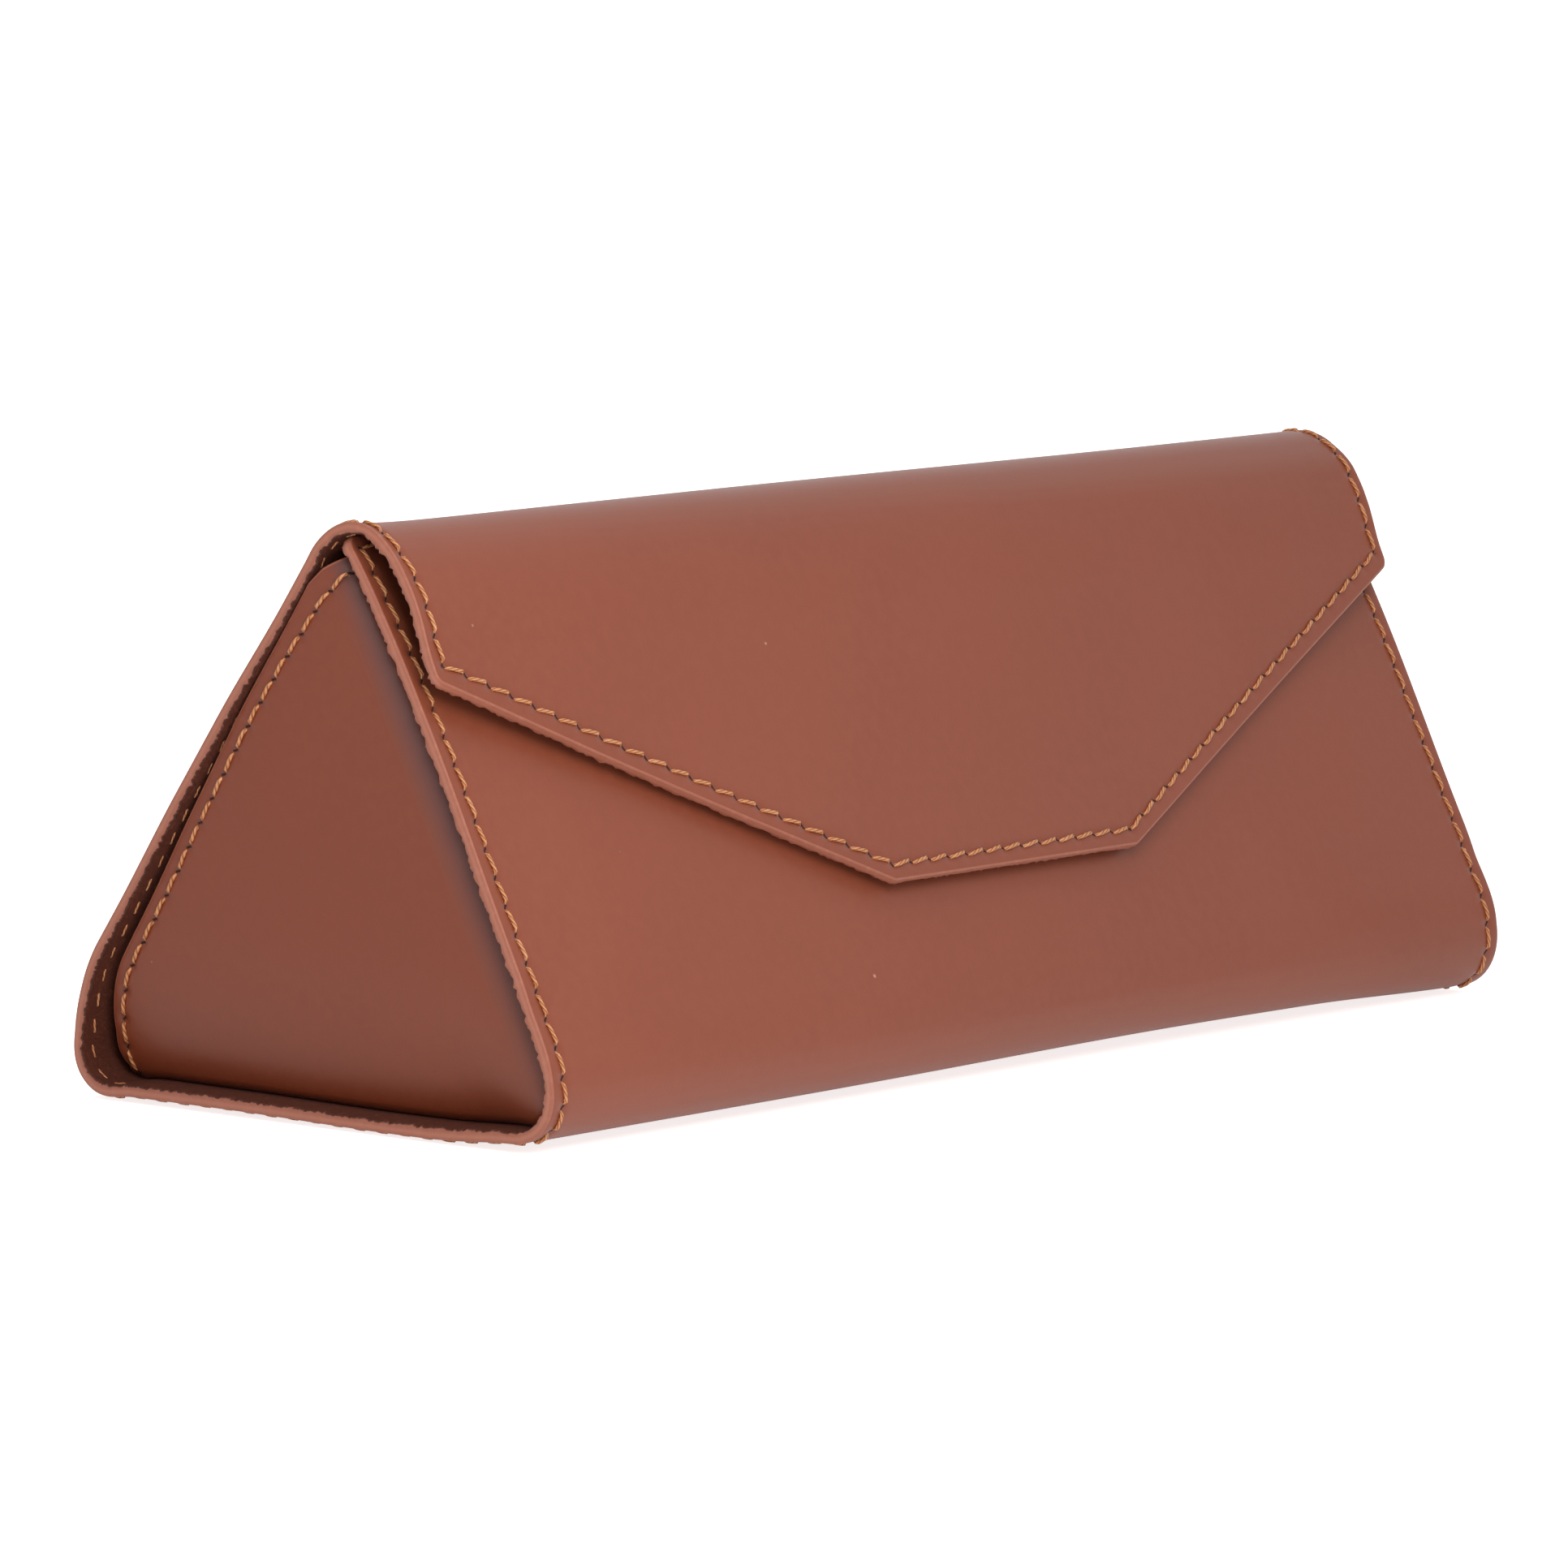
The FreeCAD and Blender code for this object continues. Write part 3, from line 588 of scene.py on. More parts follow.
def build_stitch_marks(net, given):
    """Slanting awl slits between stitches, coloured near black as painted shade inside each hole, and the
    darkened leather round each.
    """
    along, inwards, _ = net.parts(given["Row"])
    cycle = net.math("SUBTRACT", net.math("FRACT", net.math("ADD", along, 0.5)), 0.5)
    reach = net.math("MULTIPLY", cycle, given["Pitch"])
    beside = net.math("ABSOLUTE", net.math("ADD", net.math("MULTIPLY", reach, 0.64),
                                           net.math("MULTIPLY", inwards, 0.77)))
    lengthwise = net.math("ABSOLUTE", net.math("SUBTRACT", net.math("MULTIPLY", reach, 0.77),
                                               net.math("MULTIPLY", inwards, 0.64)))
    slit = net.math("MULTIPLY", net.ramp(beside, 0.06, 0.19, 1.0, 0.0),
                    net.ramp(lengthwise, 0.26, 0.46, 1.0, 0.0))
    halo = net.math("MULTIPLY", net.ramp(beside, 0.0, 0.8, 1.0, 0.0),
                    net.ramp(lengthwise, 0.2, 1.0, 1.0, 0.0))
    return {"Slit": slit, "Halo": halo}


STITCH_MARKS = group("stitch_marks", [("Row", VECTOR, None), ("Pitch", FLOAT, STITCH_PITCH)],
                     [("Slit", FLOAT), ("Halo", FLOAT)], build_stitch_marks)


def build_nap(net, given):
    """Raw flesh side: short matted fibres, clumped, with painted shade in the hollows between."""
    sheet = given["Sheet"]
    clumps = net.noise(sheet, 1.1, 4.0, 0.65, 0.8)
    fibres = net.noise(net.stretch(sheet, (1.0, 2.6, 1.0), (0.0, 0.0, 0.6)), 4.5, 5.0, 0.75, 1.4)
    cross = net.noise(net.stretch(sheet, (2.4, 1.0, 1.0), (0.0, 0.0, -0.4)), 5.5, 4.0, 0.7, 1.0)
    lay = net.math("MULTIPLY", net.math("ADD", fibres, cross), 0.5)
    # Painted shade: low places in the fibre lay are coloured near black for the shade in the hollows.
    tone = net.mix(net.ramp(lay, 0.36, 0.62), given["HollowShade"], given["Fibre"])
    tone = net.mix(net.math("MULTIPLY", net.ramp(clumps, 0.5, 0.75), 0.45), tone, given["Tip"])
    height = net.math("ADD", lay, net.math("MULTIPLY", clumps, 0.7))
    return {"Tone": tone, "Height": height, "Lay": lay}


NAP = group("flesh_side_nap", [
    ("Sheet", VECTOR, None), ("HollowShade", COLOUR, (0.035, 0.009, 0.005, 1)),
    ("Fibre", COLOUR, (0.165, 0.037, 0.019, 1)), ("Tip", COLOUR, (0.27, 0.070, 0.040, 1)),
], [("Tone", COLOUR), ("Height", FLOAT), ("Lay", FLOAT)], build_nap)


def principled(name):
    """A new material with its shader wired to the output."""
    material = bpy.data.materials.new(name)
    material.use_nodes = True
    material.node_tree.nodes.clear()
    net = Net(material.node_tree)
    shader = net.add("ShaderNodeBsdfPrincipled")
    output = net.add("ShaderNodeOutputMaterial")
    net.put(output.inputs["Surface"], shader.outputs[0])
    return material, net, shader.inputs


def placed(net, tree, **values):
    """A group placed in a material; values go to its inputs by name."""
    node = net.add("ShaderNodeGroup", node_tree=tree)
    for key, value in values.items():
        net.put(node.inputs[key], value)
    return node.outputs


def leather_material(name, deep, warm, pale, painted_fold_sheen=False):
    """Grain side: satin dyed leather, cut at each stitch hole, with painted shade in each hole and darker
    leather round it.

    With the fold sheen asked for, a band along the fold beside the front panel gets a painted greyish-mauve
    sheen: the bend's reflection of the surround, painted darker than the leather.
    """
    material, net, shader = principled(name)
    grain = placed(net, GRAIN, Sheet=net.map("flat"), Deep=deep, Warm=warm, Pale=pale)
    marks = placed(net, STITCH_MARKS, Row=net.map("row"))
    tone = grain["Tone"]
    if painted_fold_sheen:
        # Depth in millimetres behind a plane near the front panel, in the end view.
        y, z, _ = net.parts(net.map("flat"))
        depth = net.math("MULTIPLY_ADD", y, 0.879, net.math("MULTIPLY_ADD", z, -0.4766, 35.88))
        # Painted sheen: the band and its greyish-mauve colour stand in for the bend's reflection of the
        # surround.
        reach = net.ramp(z, 0.0, 60.0, 7.2, 5.2)
        band = net.math("MULTIPLY", net.ramp(depth, 0.4, 1.8),
                        net.math("SUBTRACT", 1.0, net.ramp(depth, 1.8, reach)))
        tone = net.mix(net.math("MULTIPLY", band, 0.72), tone, (0.112, 0.056, 0.055, 1))
    tone = net.mix(net.math("MULTIPLY", marks["Halo"], 0.3), tone, (0.10, 0.028, 0.016, 1))
    # Painted shade: each awl slit is coloured near black for the shade inside the hole.
    tone = net.mix(net.math("MULTIPLY", marks["Slit"], 0.94), tone, (0.020, 0.006, 0.003, 1))
    net.put(shader["Base Color"], tone)
    net.put(shader["Roughness"], net.math("ADD", net.math("ADD", grain["Shine"], 0.28),
                                          net.math("MULTIPLY", marks["Slit"], 0.6)))
    height = net.math("SUBTRACT", net.math("MULTIPLY", grain["Height"], 0.35),
                      net.math("MULTIPLY", marks["Slit"], 3.0))
    net.put(shader["Normal"], net.bump(height, 0.00006, 0.55))
    shader["Specular IOR Level"].default_value = 0.34
    shader["Sheen Weight"].default_value = 0.05
    shader["Sheen Roughness"].default_value = 0.3
    shader["Sheen Tint"].default_value = (0.80, 0.84, 1.0, 1)
    return material


def edge_material(name):
    """Cut edge: burnished pinkish tan with a painted highlight along its crown, fibres straying in from the
    flesh side.
    """
    material, net, shader = principled(name)
    run, depth, _ = net.parts(net.map("edge"))
    place = net.add("ShaderNodeCombineXYZ")
    net.put(place.inputs[0], run)
    net.put(place.inputs[1], net.math("MULTIPLY", depth, LEATHER))
    place = place.outputs[0]
    # Painted highlight: the rounded edge's crown is coloured lighter, where it would catch the light.
    crown_highlight = net.ramp(net.math("ABSOLUTE", net.math("SUBTRACT", depth, 0.42)), 0.02, 0.34, 1.0, 0.0)
    blotch = net.noise(place, 0.9, 4.0, 0.6)
    tone = net.mix(crown_highlight, (0.31, 0.098, 0.058, 1), (0.39, 0.138, 0.085, 1))
    tone = net.mix(net.math("MULTIPLY", net.ramp(blotch, 0.45, 0.75), 0.35), tone, (0.45, 0.17, 0.11, 1))
    ragged = net.noise(place, 2.6, 5.0, 0.75, 0.6)
    border = net.math("ADD", net.math("MULTIPLY", net.math("SUBTRACT", ragged, 0.5), 0.45), depth)
    fray = net.ramp(border, 0.86, 0.97)
    tone = net.mix(fray, tone, (0.06, 0.018, 0.011, 1))
    net.put(shader["Base Color"], tone)
    fibres = net.noise(net.stretch(place, (1.0, 4.0, 1.0)), 6.0, 4.0, 0.7)
    net.put(shader["Roughness"], net.math("ADD", net.math("MULTIPLY", fray, 0.35), 0.42))
    height = net.math("SUBTRACT", net.math("ADD", net.math("MULTIPLY", fibres, 0.5), blotch),
                      net.math("MULTIPLY", fray, 1.2))
    net.put(shader["Normal"], net.bump(height, 0.00012, 0.6))
    shader["Specular IOR Level"].default_value = 0.4
    return material


def suede_material(name):
    """Flesh side: dark red-brown nap, dull, with a soft sheen."""
    material, net, shader = principled(name)
    nap = placed(net, NAP, Sheet=net.map("flat"))
    net.put(shader["Base Color"], nap["Tone"])
    net.put(shader["Normal"], net.bump(nap["Height"], 0.00035, 1.0))
    net.put(shader["Roughness"], net.math("ADD", net.math("MULTIPLY", nap["Lay"], 0.2), 0.8))
    shader["Specular IOR Level"].default_value = 0.15
    shader["Sheen Weight"].default_value = 0.08
    shader["Sheen Roughness"].default_value = 0.6
    shader["Sheen Tint"].default_value = (0.80, 0.36, 0.24, 1)
    return material


def thread_material(name, light, dark):
    """Waxed three-ply thread: slanting plies, with painted shade in the grooves between them, tiny fibre
    streaks along each ply.
    """
    material, net, shader = principled(name)
    along, around, _ = net.parts(net.map("ply"))
    phase = net.math("ADD", net.math("MULTIPLY", around, 3.0), net.math("MULTIPLY", along, 1.15))
    ply = net.math("ABSOLUTE", net.math("SUBTRACT", net.math("MULTIPLY", net.math("FRACT", phase), 2.0), 1.0))
    place = net.add("ShaderNodeCombineXYZ")
    net.put(place.inputs[0], net.math("MULTIPLY", phase, 9.0))
    net.put(place.inputs[1], net.math("MULTIPLY", along, 1.6))
    streak = net.noise(place.outputs[0], 1.0, 3.0, 0.6)
    wander = net.noise(net.stretch(net.map("ply"), (0.35, 0.5, 1.0)), 1.0, 2.0, 0.5)
    # Painted shade: the thread is coloured dark in the grooves between its plies.
    tone = net.mix(net.ramp(ply, 0.55, 0.98), light, dark)
    tone = net.mix(net.math("MULTIPLY", net.ramp(streak, 0.4, 0.7), 0.45), tone, dark)
    tone = net.mix(net.math("MULTIPLY", net.ramp(wander, 0.45, 0.7), 0.25), tone, (0.84, 0.47, 0.26, 1))
    net.put(shader["Base Color"], tone)
    height = net.math("SUBTRACT", net.math("MULTIPLY", streak, 0.4), net.ramp(ply, 0.4, 1.0))
    net.put(shader["Normal"], net.bump(height, 0.00010, 0.9))
    net.put(shader["Roughness"], net.math("ADD", net.math("MULTIPLY", streak, 0.25), 0.38))
    shader["Specular IOR Level"].default_value = 0.45
    return material


LEATHER_GRAIN = leather_material("dyed_calf_grain", (0.215, 0.0525, 0.0255, 1),
                                 (0.233, 0.0575, 0.0287, 1), (0.254, 0.068, 0.0365, 1))
GUSSET_GRAIN = leather_material("dyed_calf_grain_gusset", (0.183, 0.0365, 0.0130, 1),
                                (0.196, 0.0396, 0.0143, 1), (0.214, 0.0458, 0.0172, 1), painted_fold_sheen=True)
CUT_EDGE = edge_material("burnished_cut_edge")
SUEDE = suede_material("flesh_side_suede")
THREAD = thread_material("waxed_thread", (0.66, 0.275, 0.11, 1), (0.26, 0.080, 0.026, 1))
WRAP_MATERIALS = (LEATHER_GRAIN, CUT_EDGE, SUEDE)
GUSSET_MATERIALS = (GUSSET_GRAIN, CUT_EDGE, SUEDE)


# ---- the wrap in three pieces --------------------------------------------------------------------
def full_columns():
    """x from end to end of the case: close near both cut edges, wide apart between."""
    width = 2 * (HALF - EDGE_ROUNDING)
    return graded(width, (6.0, 6.0), 0.32, 3.0) - width / 2


def straight_rows(s_values):
    """A grid whose rows stand at the given s, from end to end of the case."""
    return np.meshgrid(s_values, full_columns(), indexing="ij")


def corner_at(s, x, toward_s, toward_x, reach):
    """A corner to round: its place and the unit directions of its two edges."""
    first = np.array(toward_s, float)
    second = np.array(toward_x, float)
    return np.array([s, x]), first / np.linalg.norm(first), second / np.linalg.norm(second), reach


def front_piece():
    """Front panel, front foot and the front half of the base."""
    top = EDGE_ROUNDING - FRONT_REACH
    rows = graded(BASE_SPLIT - top, (5.0, 0.45), 0.32, 0.45) + top
    edge = HALF - EDGE_ROUNDING
    corners = [corner_at(top, side * edge, (1, 0), (0, -side), FRONT_CORNER) for side in (-1, 1)]
    return wrap_piece("front_and_base_sheet", straight_rows(rows), corners=corners,
                      seams=(BASE_SPLIT,), stitched=("left", "right", "front_top"))


def heel_piece():
    """Rear half of the base, rear foot and the lower half of the back panel."""
    rows = np.linspace(BASE_SPLIT, BACK_SPLIT, 181)
    return wrap_piece("heel_sheet", straight_rows(rows), seams=(BASE_SPLIT, BACK_SPLIT),
                      stitched=("left", "right"))


def flap_piece():
    """Upper half of the back panel, the rolled ridge and the flap.

    Its rows run straight across up to s 200, then bend by even shares until they follow the flap's
    outline one band short of its edge.  Closer columns carry on from there to the edge.
    """
    side_s, nose_s, nose_x = flap_outline(EDGE_ROUNDING)
    edge = HALF - EDGE_ROUNDING
    band, straight = 5.0, 200.0
    columns = full_columns()
    bays = [np.linspace(a, b, max(1, round((b - a) / 0.5)) + 1) for a, b in zip(columns[:-1], columns[1:])]
    fine_columns = np.unique(np.round(np.concatenate(bays), 6))

    def foot_of(x):
        share = np.clip((np.abs(x) - nose_x) / (edge - nose_x), 0.0, 1.0)
        return nose_s + (side_s - nose_s) * share

    rows = np.linspace(BACK_SPLIT, side_s - band, 122)[:, None]
    low = foot_of(columns) - band
    share = np.clip((rows - straight) / (side_s - band - straight), 0.0, 1.0)
    s_grid = np.where(share > 0, straight + (low - straight) * share, rows + 0 * low)
    fine_s = foot_of(fine_columns) - band + np.linspace(1.0, band, 13)[:, None]
    corners = [corner_at(side_s, side * edge, (-1, 0), (nose_s - side_s, side * (nose_x - edge)), FLAP_CORNER)
               for side in (-1, 1)]
    upper = s_grid, columns + 0 * s_grid
    lower = fine_s, fine_columns + 0 * fine_s
    return wrap_piece("ridge_and_flap_sheet", upper, lower, corners=corners, seams=(BACK_SPLIT,),
                      stitched=FLAP_ROWS)


front_sheet = front_piece()
heel_sheet = heel_piece()
flap_sheet = flap_piece()


# ---- the end gussets -----------------------------------------------------------------------------
def gusset_inset(y, z):
    """How far the gusset's face stands in from the wrap's end, by place in the end view.

    It leans in a little towards its foot, then draws in faster to the crease on the base, except
    close behind the front panel.
    """
    upright = 84.7 - 0.034 * np.clip(60.0 - z, 0.0, None)
    height = np.clip(1 - (z - LEATHER) / GUSSET_LEAN_HEIGHT, 0.0, 1.0)
    from_front = (y + 40.0) * 0.8786 - z * 0.4768
    flat_middle = np.sin(np.pi * np.clip((y + 30) / 62, 0, 1))
    lean = (GUSSET_LEAN - flat_middle) * height ** 2 * smooth(2.0, 16.0, from_front)
    return upright - lean


def behind_wrap(s, depth):
    """End-view place `depth` inside the wrap's inner face at s."""
    return on_wrap(s, np.full_like(s, -HALF), -(LEATHER + GLUE + depth))[..., 1:]


def bend_radius(s):
    """The gusset's outer bend: full behind the front panel, tight along the base."""
    return GUSSET_FRONT_BEND + (GUSSET_BASE_BEND - GUSSET_FRONT_BEND) * smooth(60.0, 76.0, s)


FREE_TOP = 208.5                       # s beside the gusset's top rear corner
FREE_FOOT = BASE_END + 3.15            # s where its free edge reaches the base
FREE_TURN = BASE_END + 17.0


def free_gap(s):
    """The gusset's free edge nears the back panel at its top and at its foot."""
    return 0.07 + 1.1 * smooth(136.0, 142.5, s) * (1 - smooth(156.0, 206.0, s))


def free_edge(s):
    """The gusset's free rear edge, just inside the back panel, meeting the base at its foot."""
    return behind_wrap(s, free_gap(s) + EDGE_ROUNDING)


def gusset_grid():
    """Places, flat places and outward normals of the left gusset's grid.

    Its rows are the glued flange, a quarter-round bend, then a patch filled between the bend, the top
    edge and the free edge: the sum of the two straight fills less the fill of the four corners.
    """
    columns = 190
    u = np.linspace(0, 1, columns)
    path = GUSSET_TOP + EDGE_ROUNDING + (FREE_FOOT - GUSSET_TOP - EDGE_ROUNDING) * u
    radius = bend_radius(path)
    angles = np.radians(np.linspace(0, 90, 11))[:, None]
    bend = behind_wrap(path[None] + 0 * angles, radius * (1 - np.cos(angles)))
    bend_in = radius * (1 - np.sin(angles))
    developed = behind_wrap(path[None] + 0 * angles, radius - radius * (np.pi / 2 - angles))

    near = bend[-1]
    far_s = FREE_TOP - (FREE_TOP - FREE_TURN) * u
    far = free_edge(far_s)
    v = graded(1.0, (0.04, 0.16), 0.02, 0.03)[1:, None, None]
    top = near[0] + (far[0] - near[0]) * v
    side_s = FREE_FOOT + (FREE_TURN - FREE_FOOT) * v[:, 0, 0]
    side = free_edge(side_s)[:, None, :]
    side = side + (near[-1] - free_edge(np.array([FREE_FOOT]))[0]) * (1 - v)
    straight = near[None] * (1 - v) + far[None] * v
    across = top * (1 - u[None, :, None]) + side * u[None, :, None]
    bilinear = ((near[0] * (1 - v) + far[0] * v) * (1 - u[None, :, None])
                + (near[-1] * (1 - v) + far[-1] * v) * u[None, :, None])
    patch = straight + across - bilinear

    flange_in = np.linspace(1, 0, 5)[:-1, None]
    flange_end = behind_wrap(path, np.zeros_like(path))
    face = gusset_inset(flange_end[:, 0], flange_end[:, 1])
    tangent_x = face - radius
    flange_x = GUSSET_FLANGE_END + (tangent_x - GUSSET_FLANGE_END) * (1 - flange_in)
    flange_flat = behind_wrap(path[None] + 0 * flange_in,
                              radius * (1 - np.pi / 2) - (tangent_x - GUSSET_FLANGE_END) * flange_in)
    ends = np.concatenate([np.broadcast_to(flange_end, (4, columns, 2)), bend, patch])
    bend_x = gusset_inset(bend[..., 0], bend[..., 1]) - bend_in
    patch_x = gusset_inset(patch[..., 0], patch[..., 1])
    x = np.concatenate([flange_x, bend_x, patch_x])
    flat = np.concatenate([flange_flat, developed, patch])

    against = np.broadcast_to(wrap_frame(path)[2], (columns, 3))
    face_out = face_normal(ends[..., 0], ends[..., 1])
    turn = np.concatenate([np.zeros(4), angles[:, 0], np.full(len(patch), np.pi / 2)])[:, None, None]
    outward = unit(np.cos(turn) * against + np.sin(turn) * face_out)
    return np.concatenate([-x[..., None], ends], -1), flat, outward


def face_normal(y, z):
    """Outward normal of the left gusset's face, from the slopes of its inset."""
    step = 0.05
    slope_y = (gusset_inset(y + step, z) - gusset_inset(y - step, z)) / (2 * step)
    slope_z = (gusset_inset(y, z + step) - gusset_inset(y, z - step)) / (2 * step)
    return unit(np.stack([-np.ones_like(y), -slope_y, -slope_z], -1))


def gusset_row():
    """Down from the top front corner: along the short top edge, then beside the free edge to the base."""
    s = np.linspace(207.6, 141.0, 30)
    beside = behind_wrap(s, 2.85 - 0.7 * smooth(160.0, 196.0, s) + 0.5 * smooth(198.0, 208.0, s))
    foot = behind_wrap(np.array([BASE_END + 1.9]), np.array([0.25]))
    start = behind_wrap(np.array([GUSSET_TOP + 2.0]), np.array([1.0]))
    return Row(np.concatenate([start, beside, foot]), -1)


GUSSET_ROW = gusset_row()


def on_gusset(y, z, out):
    """Sheet space to the left end: the face's place, moved outwards along the case."""
    low = np.clip(1 - (z - LEATHER - GLUE) / GUSSET_BASE_BEND, 0.0, 1.0)
    fold = GUSSET_BASE_BEND * (1 - np.sqrt(1 - low ** 2))
    return np.stack([-(gusset_inset(y, z) - fold) - out, y, z], axis=-1)


def gusset_piece(name, mirror):
    """One gusset, from its grid; the right one is the left one mirrored."""
    grid, flat, outward = gusset_grid()
    rows, columns = grid.shape[:2]
    place = grid.reshape(-1, 3)
    outward = outward.reshape(-1, 3)
    loop = grid_loop(rows, columns)
    edge_out = unit(np.cross(rim_directions(place[loop]), outward[loop]))
    flat = flat.reshape(-1, 2)
    relief = pull_of([GUSSET_ROW], flat)
    return cut_sheet(name, flat, place, outward, relief, loop, edge_out, [grid_faces(rows, columns)],
                     [GUSSET_ROW], GUSSET_MATERIALS, mirror=mirror)


left_gusset = gusset_piece("left_gusset_sheet", False)
right_gusset = gusset_piece("right_gusset_sheet", True)


# ---- stitches ------------------------------------------------------------------------------------
def stitch_template(length, radius, slant, rise, dive):
    """One stitch about its middle: (along, inwards, height) on rings of a three-lobed twisted tube.

    The line slants inwards, lies flat and dives at both ends; the tube's radius swells in three
    lobes that turn as they go along it.
    """
    rings, sides = 8, 9
    t = np.linspace(-1, 1, rings)[:, None]
    turn = np.linspace(0, 2 * np.pi, sides, endpoint=False)[None, :]
    swell = radius * (1 + 0.14 * np.cos(3 * turn + 2.3 * t * length)) * (1 - 0.28 * t ** 6)
    along = t * length / 2 + 0 * turn
    inwards = slant * np.sin(t * np.pi / 2) + swell * np.cos(turn)
    height = rise - dive * np.abs(t) ** 7 + swell * np.sin(turn)
    ply = np.stack([along, np.broadcast_to(turn / (2 * np.pi), along.shape)], -1)
    return np.stack([along, inwards, height], -1), ply


def stitch_run(row, chosen, on_sheet, inner=False, slant=STITCH_SLANT):
    """Points, faces and maps of the chosen stitches of a row, laid in sheet space then on the case.

    Inner stitches are the row's other side: shorter, thinner and sunk in the flesh side's nap.
    """
    numbers = np.arange(row.count)
    middles = (numbers + 0.5) * row.pitch
    middles = middles[chosen(*row.at(middles)[0].T)]
    if inner:
        template, ply = stitch_template(STITCH_LENGTH * 0.82, THREAD_RADIUS * 0.72, -0.1,
                                        -LEATHER + 0.05, -0.4)
    else:
        template, ply = stitch_template(STITCH_LENGTH, THREAD_RADIUS, slant, 0.10, 0.50)
    rings, sides = template.shape[:2]
    wander = np.sin(middles * 12.9898) * 0.5
    reach = template[..., 0].ravel()[None, :] + middles[:, None]
    place, along, inwards = row.at(middles)
    stray = template[..., 1].ravel()[None, :] + 0.05 * wander[:, None]
    flat = (place[:, None, :] + along[:, None, :] * (reach - middles[:, None])[..., None]
            + inwards[:, None, :] * stray[..., None])
    out = template[..., 2].ravel()[None, :] + 0.03 * np.cos(middles * 7.1)[:, None]
    points = on_sheet(flat[..., 0], flat[..., 1], out + 0 * flat[..., 0]).reshape(-1, 3)
    per = rings * sides
    index = np.arange(per).reshape(rings, sides)
    ahead = np.roll(index, -1, axis=1)
    body = np.stack([index[:-1], ahead[:-1], ahead[1:], index[1:]], -1).reshape(-1, 4)
    ply_next = np.roll(ply, -1, axis=1)
    ply_next[:, -1, 1] = 1.0
    maps = np.stack([ply[:-1], ply_next[:-1], ply_next[1:], ply[1:]], axis=2).reshape(-1, 4, 2)
    caps = np.stack([index[0, ::-1], index[-1]])
    cap_maps = np.stack([ply[0, ::-1], ply[-1]])
    count = len(middles)
    shift = (np.arange(count) * per)[:, None, None]
    along_ply = np.repeat(numbers[:count] * 3.7, len(body))[:, None, None] * [1, 0]
    shifted = np.concatenate([maps] * count) + along_ply
    return (points, (body[None] + shift).reshape(-1, 4), shifted,
            (caps[None] + shift).reshape(-1, sides), np.concatenate([cap_maps] * count))


def thread_piece(name, runs, mirror=False, flip=False):
    """One thread piece from several stitch runs."""
    points, bodies, body_maps, caps, cap_maps = [], [], [], [], []
    begun = 0
    for run in runs:
        points.append(run[0])
        bodies.append(run[1] + begun)
        body_maps.append(run[2])
        caps.append(run[3] + begun)
        cap_maps.append(run[4])
        begun += len(run[0])
    body = np.concatenate(bodies)
    cap = np.concatenate(caps)
    body_map = np.concatenate(body_maps)
    cap_map = np.concatenate(cap_maps)
    if flip:
        body, body_map, cap, cap_map = body[:, ::-1], body_map[:, ::-1], cap[:, ::-1], cap_map[:, ::-1]
    groups = [(body, 0, {"ply": body_map}), (cap, 0, {"ply": cap_map})]
    return make_mesh(name, np.concatenate(points), groups, (THREAD,), mirror)


def between(low, high):
    """Chooses the wrap's stitches whose s lies in a range."""
    return lambda s, x: (s >= low) & (s < high)


def off_base(low, high):
    """The same, leaving out those under the glued flange on the base."""
    return lambda s, x: (s >= low) & (s < high) & ~((s > BASE_START - 6) & (s < BASE_END - 1))


def anywhere(s, x):
    """Chooses every stitch of a row."""
    return np.full(np.broadcast(s, x).shape, True)


def side_thread(name, side, low, high):
    """Both sides of the wrap's left or right row between two places along the section."""
    row = ROWS[side]
    return thread_piece(name, [
        stitch_run(row, between(low, high), on_wrap),
        stitch_run(row, off_base(low, high), on_wrap, inner=True),
    ])


SIDES = ("left", "right")
tray_threads = {side: side_thread(side + "_front_and_base_stitches", side, 0.0, BASE_SPLIT) for side in SIDES}
heel_threads = {side: side_thread(side + "_heel_stitches", side, BASE_SPLIT, BACK_SPLIT) for side in SIDES}
front_top_thread = thread_piece("front_top_stitches", [
    stitch_run(ROWS["front_top"], anywhere, on_wrap, inner) for inner in (False, True)])
flap_thread = thread_piece("ridge_and_flap_stitches", [
    stitch_run(ROWS[key], between(BACK_SPLIT, math.inf), on_wrap, inner)
    for key in FLAP_ROWS for inner in (False, True)])
gusset_threads = {
    side: thread_piece(side + "_gusset_stitches", [
        stitch_run(GUSSET_ROW, anywhere, on_gusset, slant=GUSSET_SLANT),
        stitch_run(GUSSET_ROW, anywhere, on_gusset, inner=True),
    ], mirror=side == "right", flip=True)
    for side in SIDES
}


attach(front_sheet, "tray")
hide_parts("front_and_base_leather")
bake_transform(heel_sheet)
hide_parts("front_and_base_leather", "back_leather")
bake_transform(flap_sheet)
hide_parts("back_leather", "flap_leather")
for side, sheet in (("left", left_gusset), ("right", right_gusset)):
    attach(sheet, "tray")
    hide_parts(side + "_gusset")
    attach(tray_threads[side], "tray")
    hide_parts(side + "_tray_thread")
    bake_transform(heel_threads[side])
    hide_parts(side + "_tray_thread", side + "_back_thread")
    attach(gusset_threads[side], "tray")
    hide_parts(side + "_gusset_thread")
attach(front_top_thread, "tray")
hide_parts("front_top_thread")
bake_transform(flap_thread)
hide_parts("flap_thread", "left_back_thread", "right_back_thread")


# ---- magnets and their covers --------------------------------------------------------------------
MAGNET_RADIUS, MAGNET_THICK = 3.9, 0.75
MAGNET_X = 13.0                        # each magnet's distance from the middle
COVER_SIZE = (10.4, 42.0)
COVER_CORNER = 2.0
COVER_THICK = 0.45
# Part, the body it rides on, and s of its pair of magnets.
MAGNET_PLACES = (("front", "tray", 34.4), ("flap", "flap", 257.51))


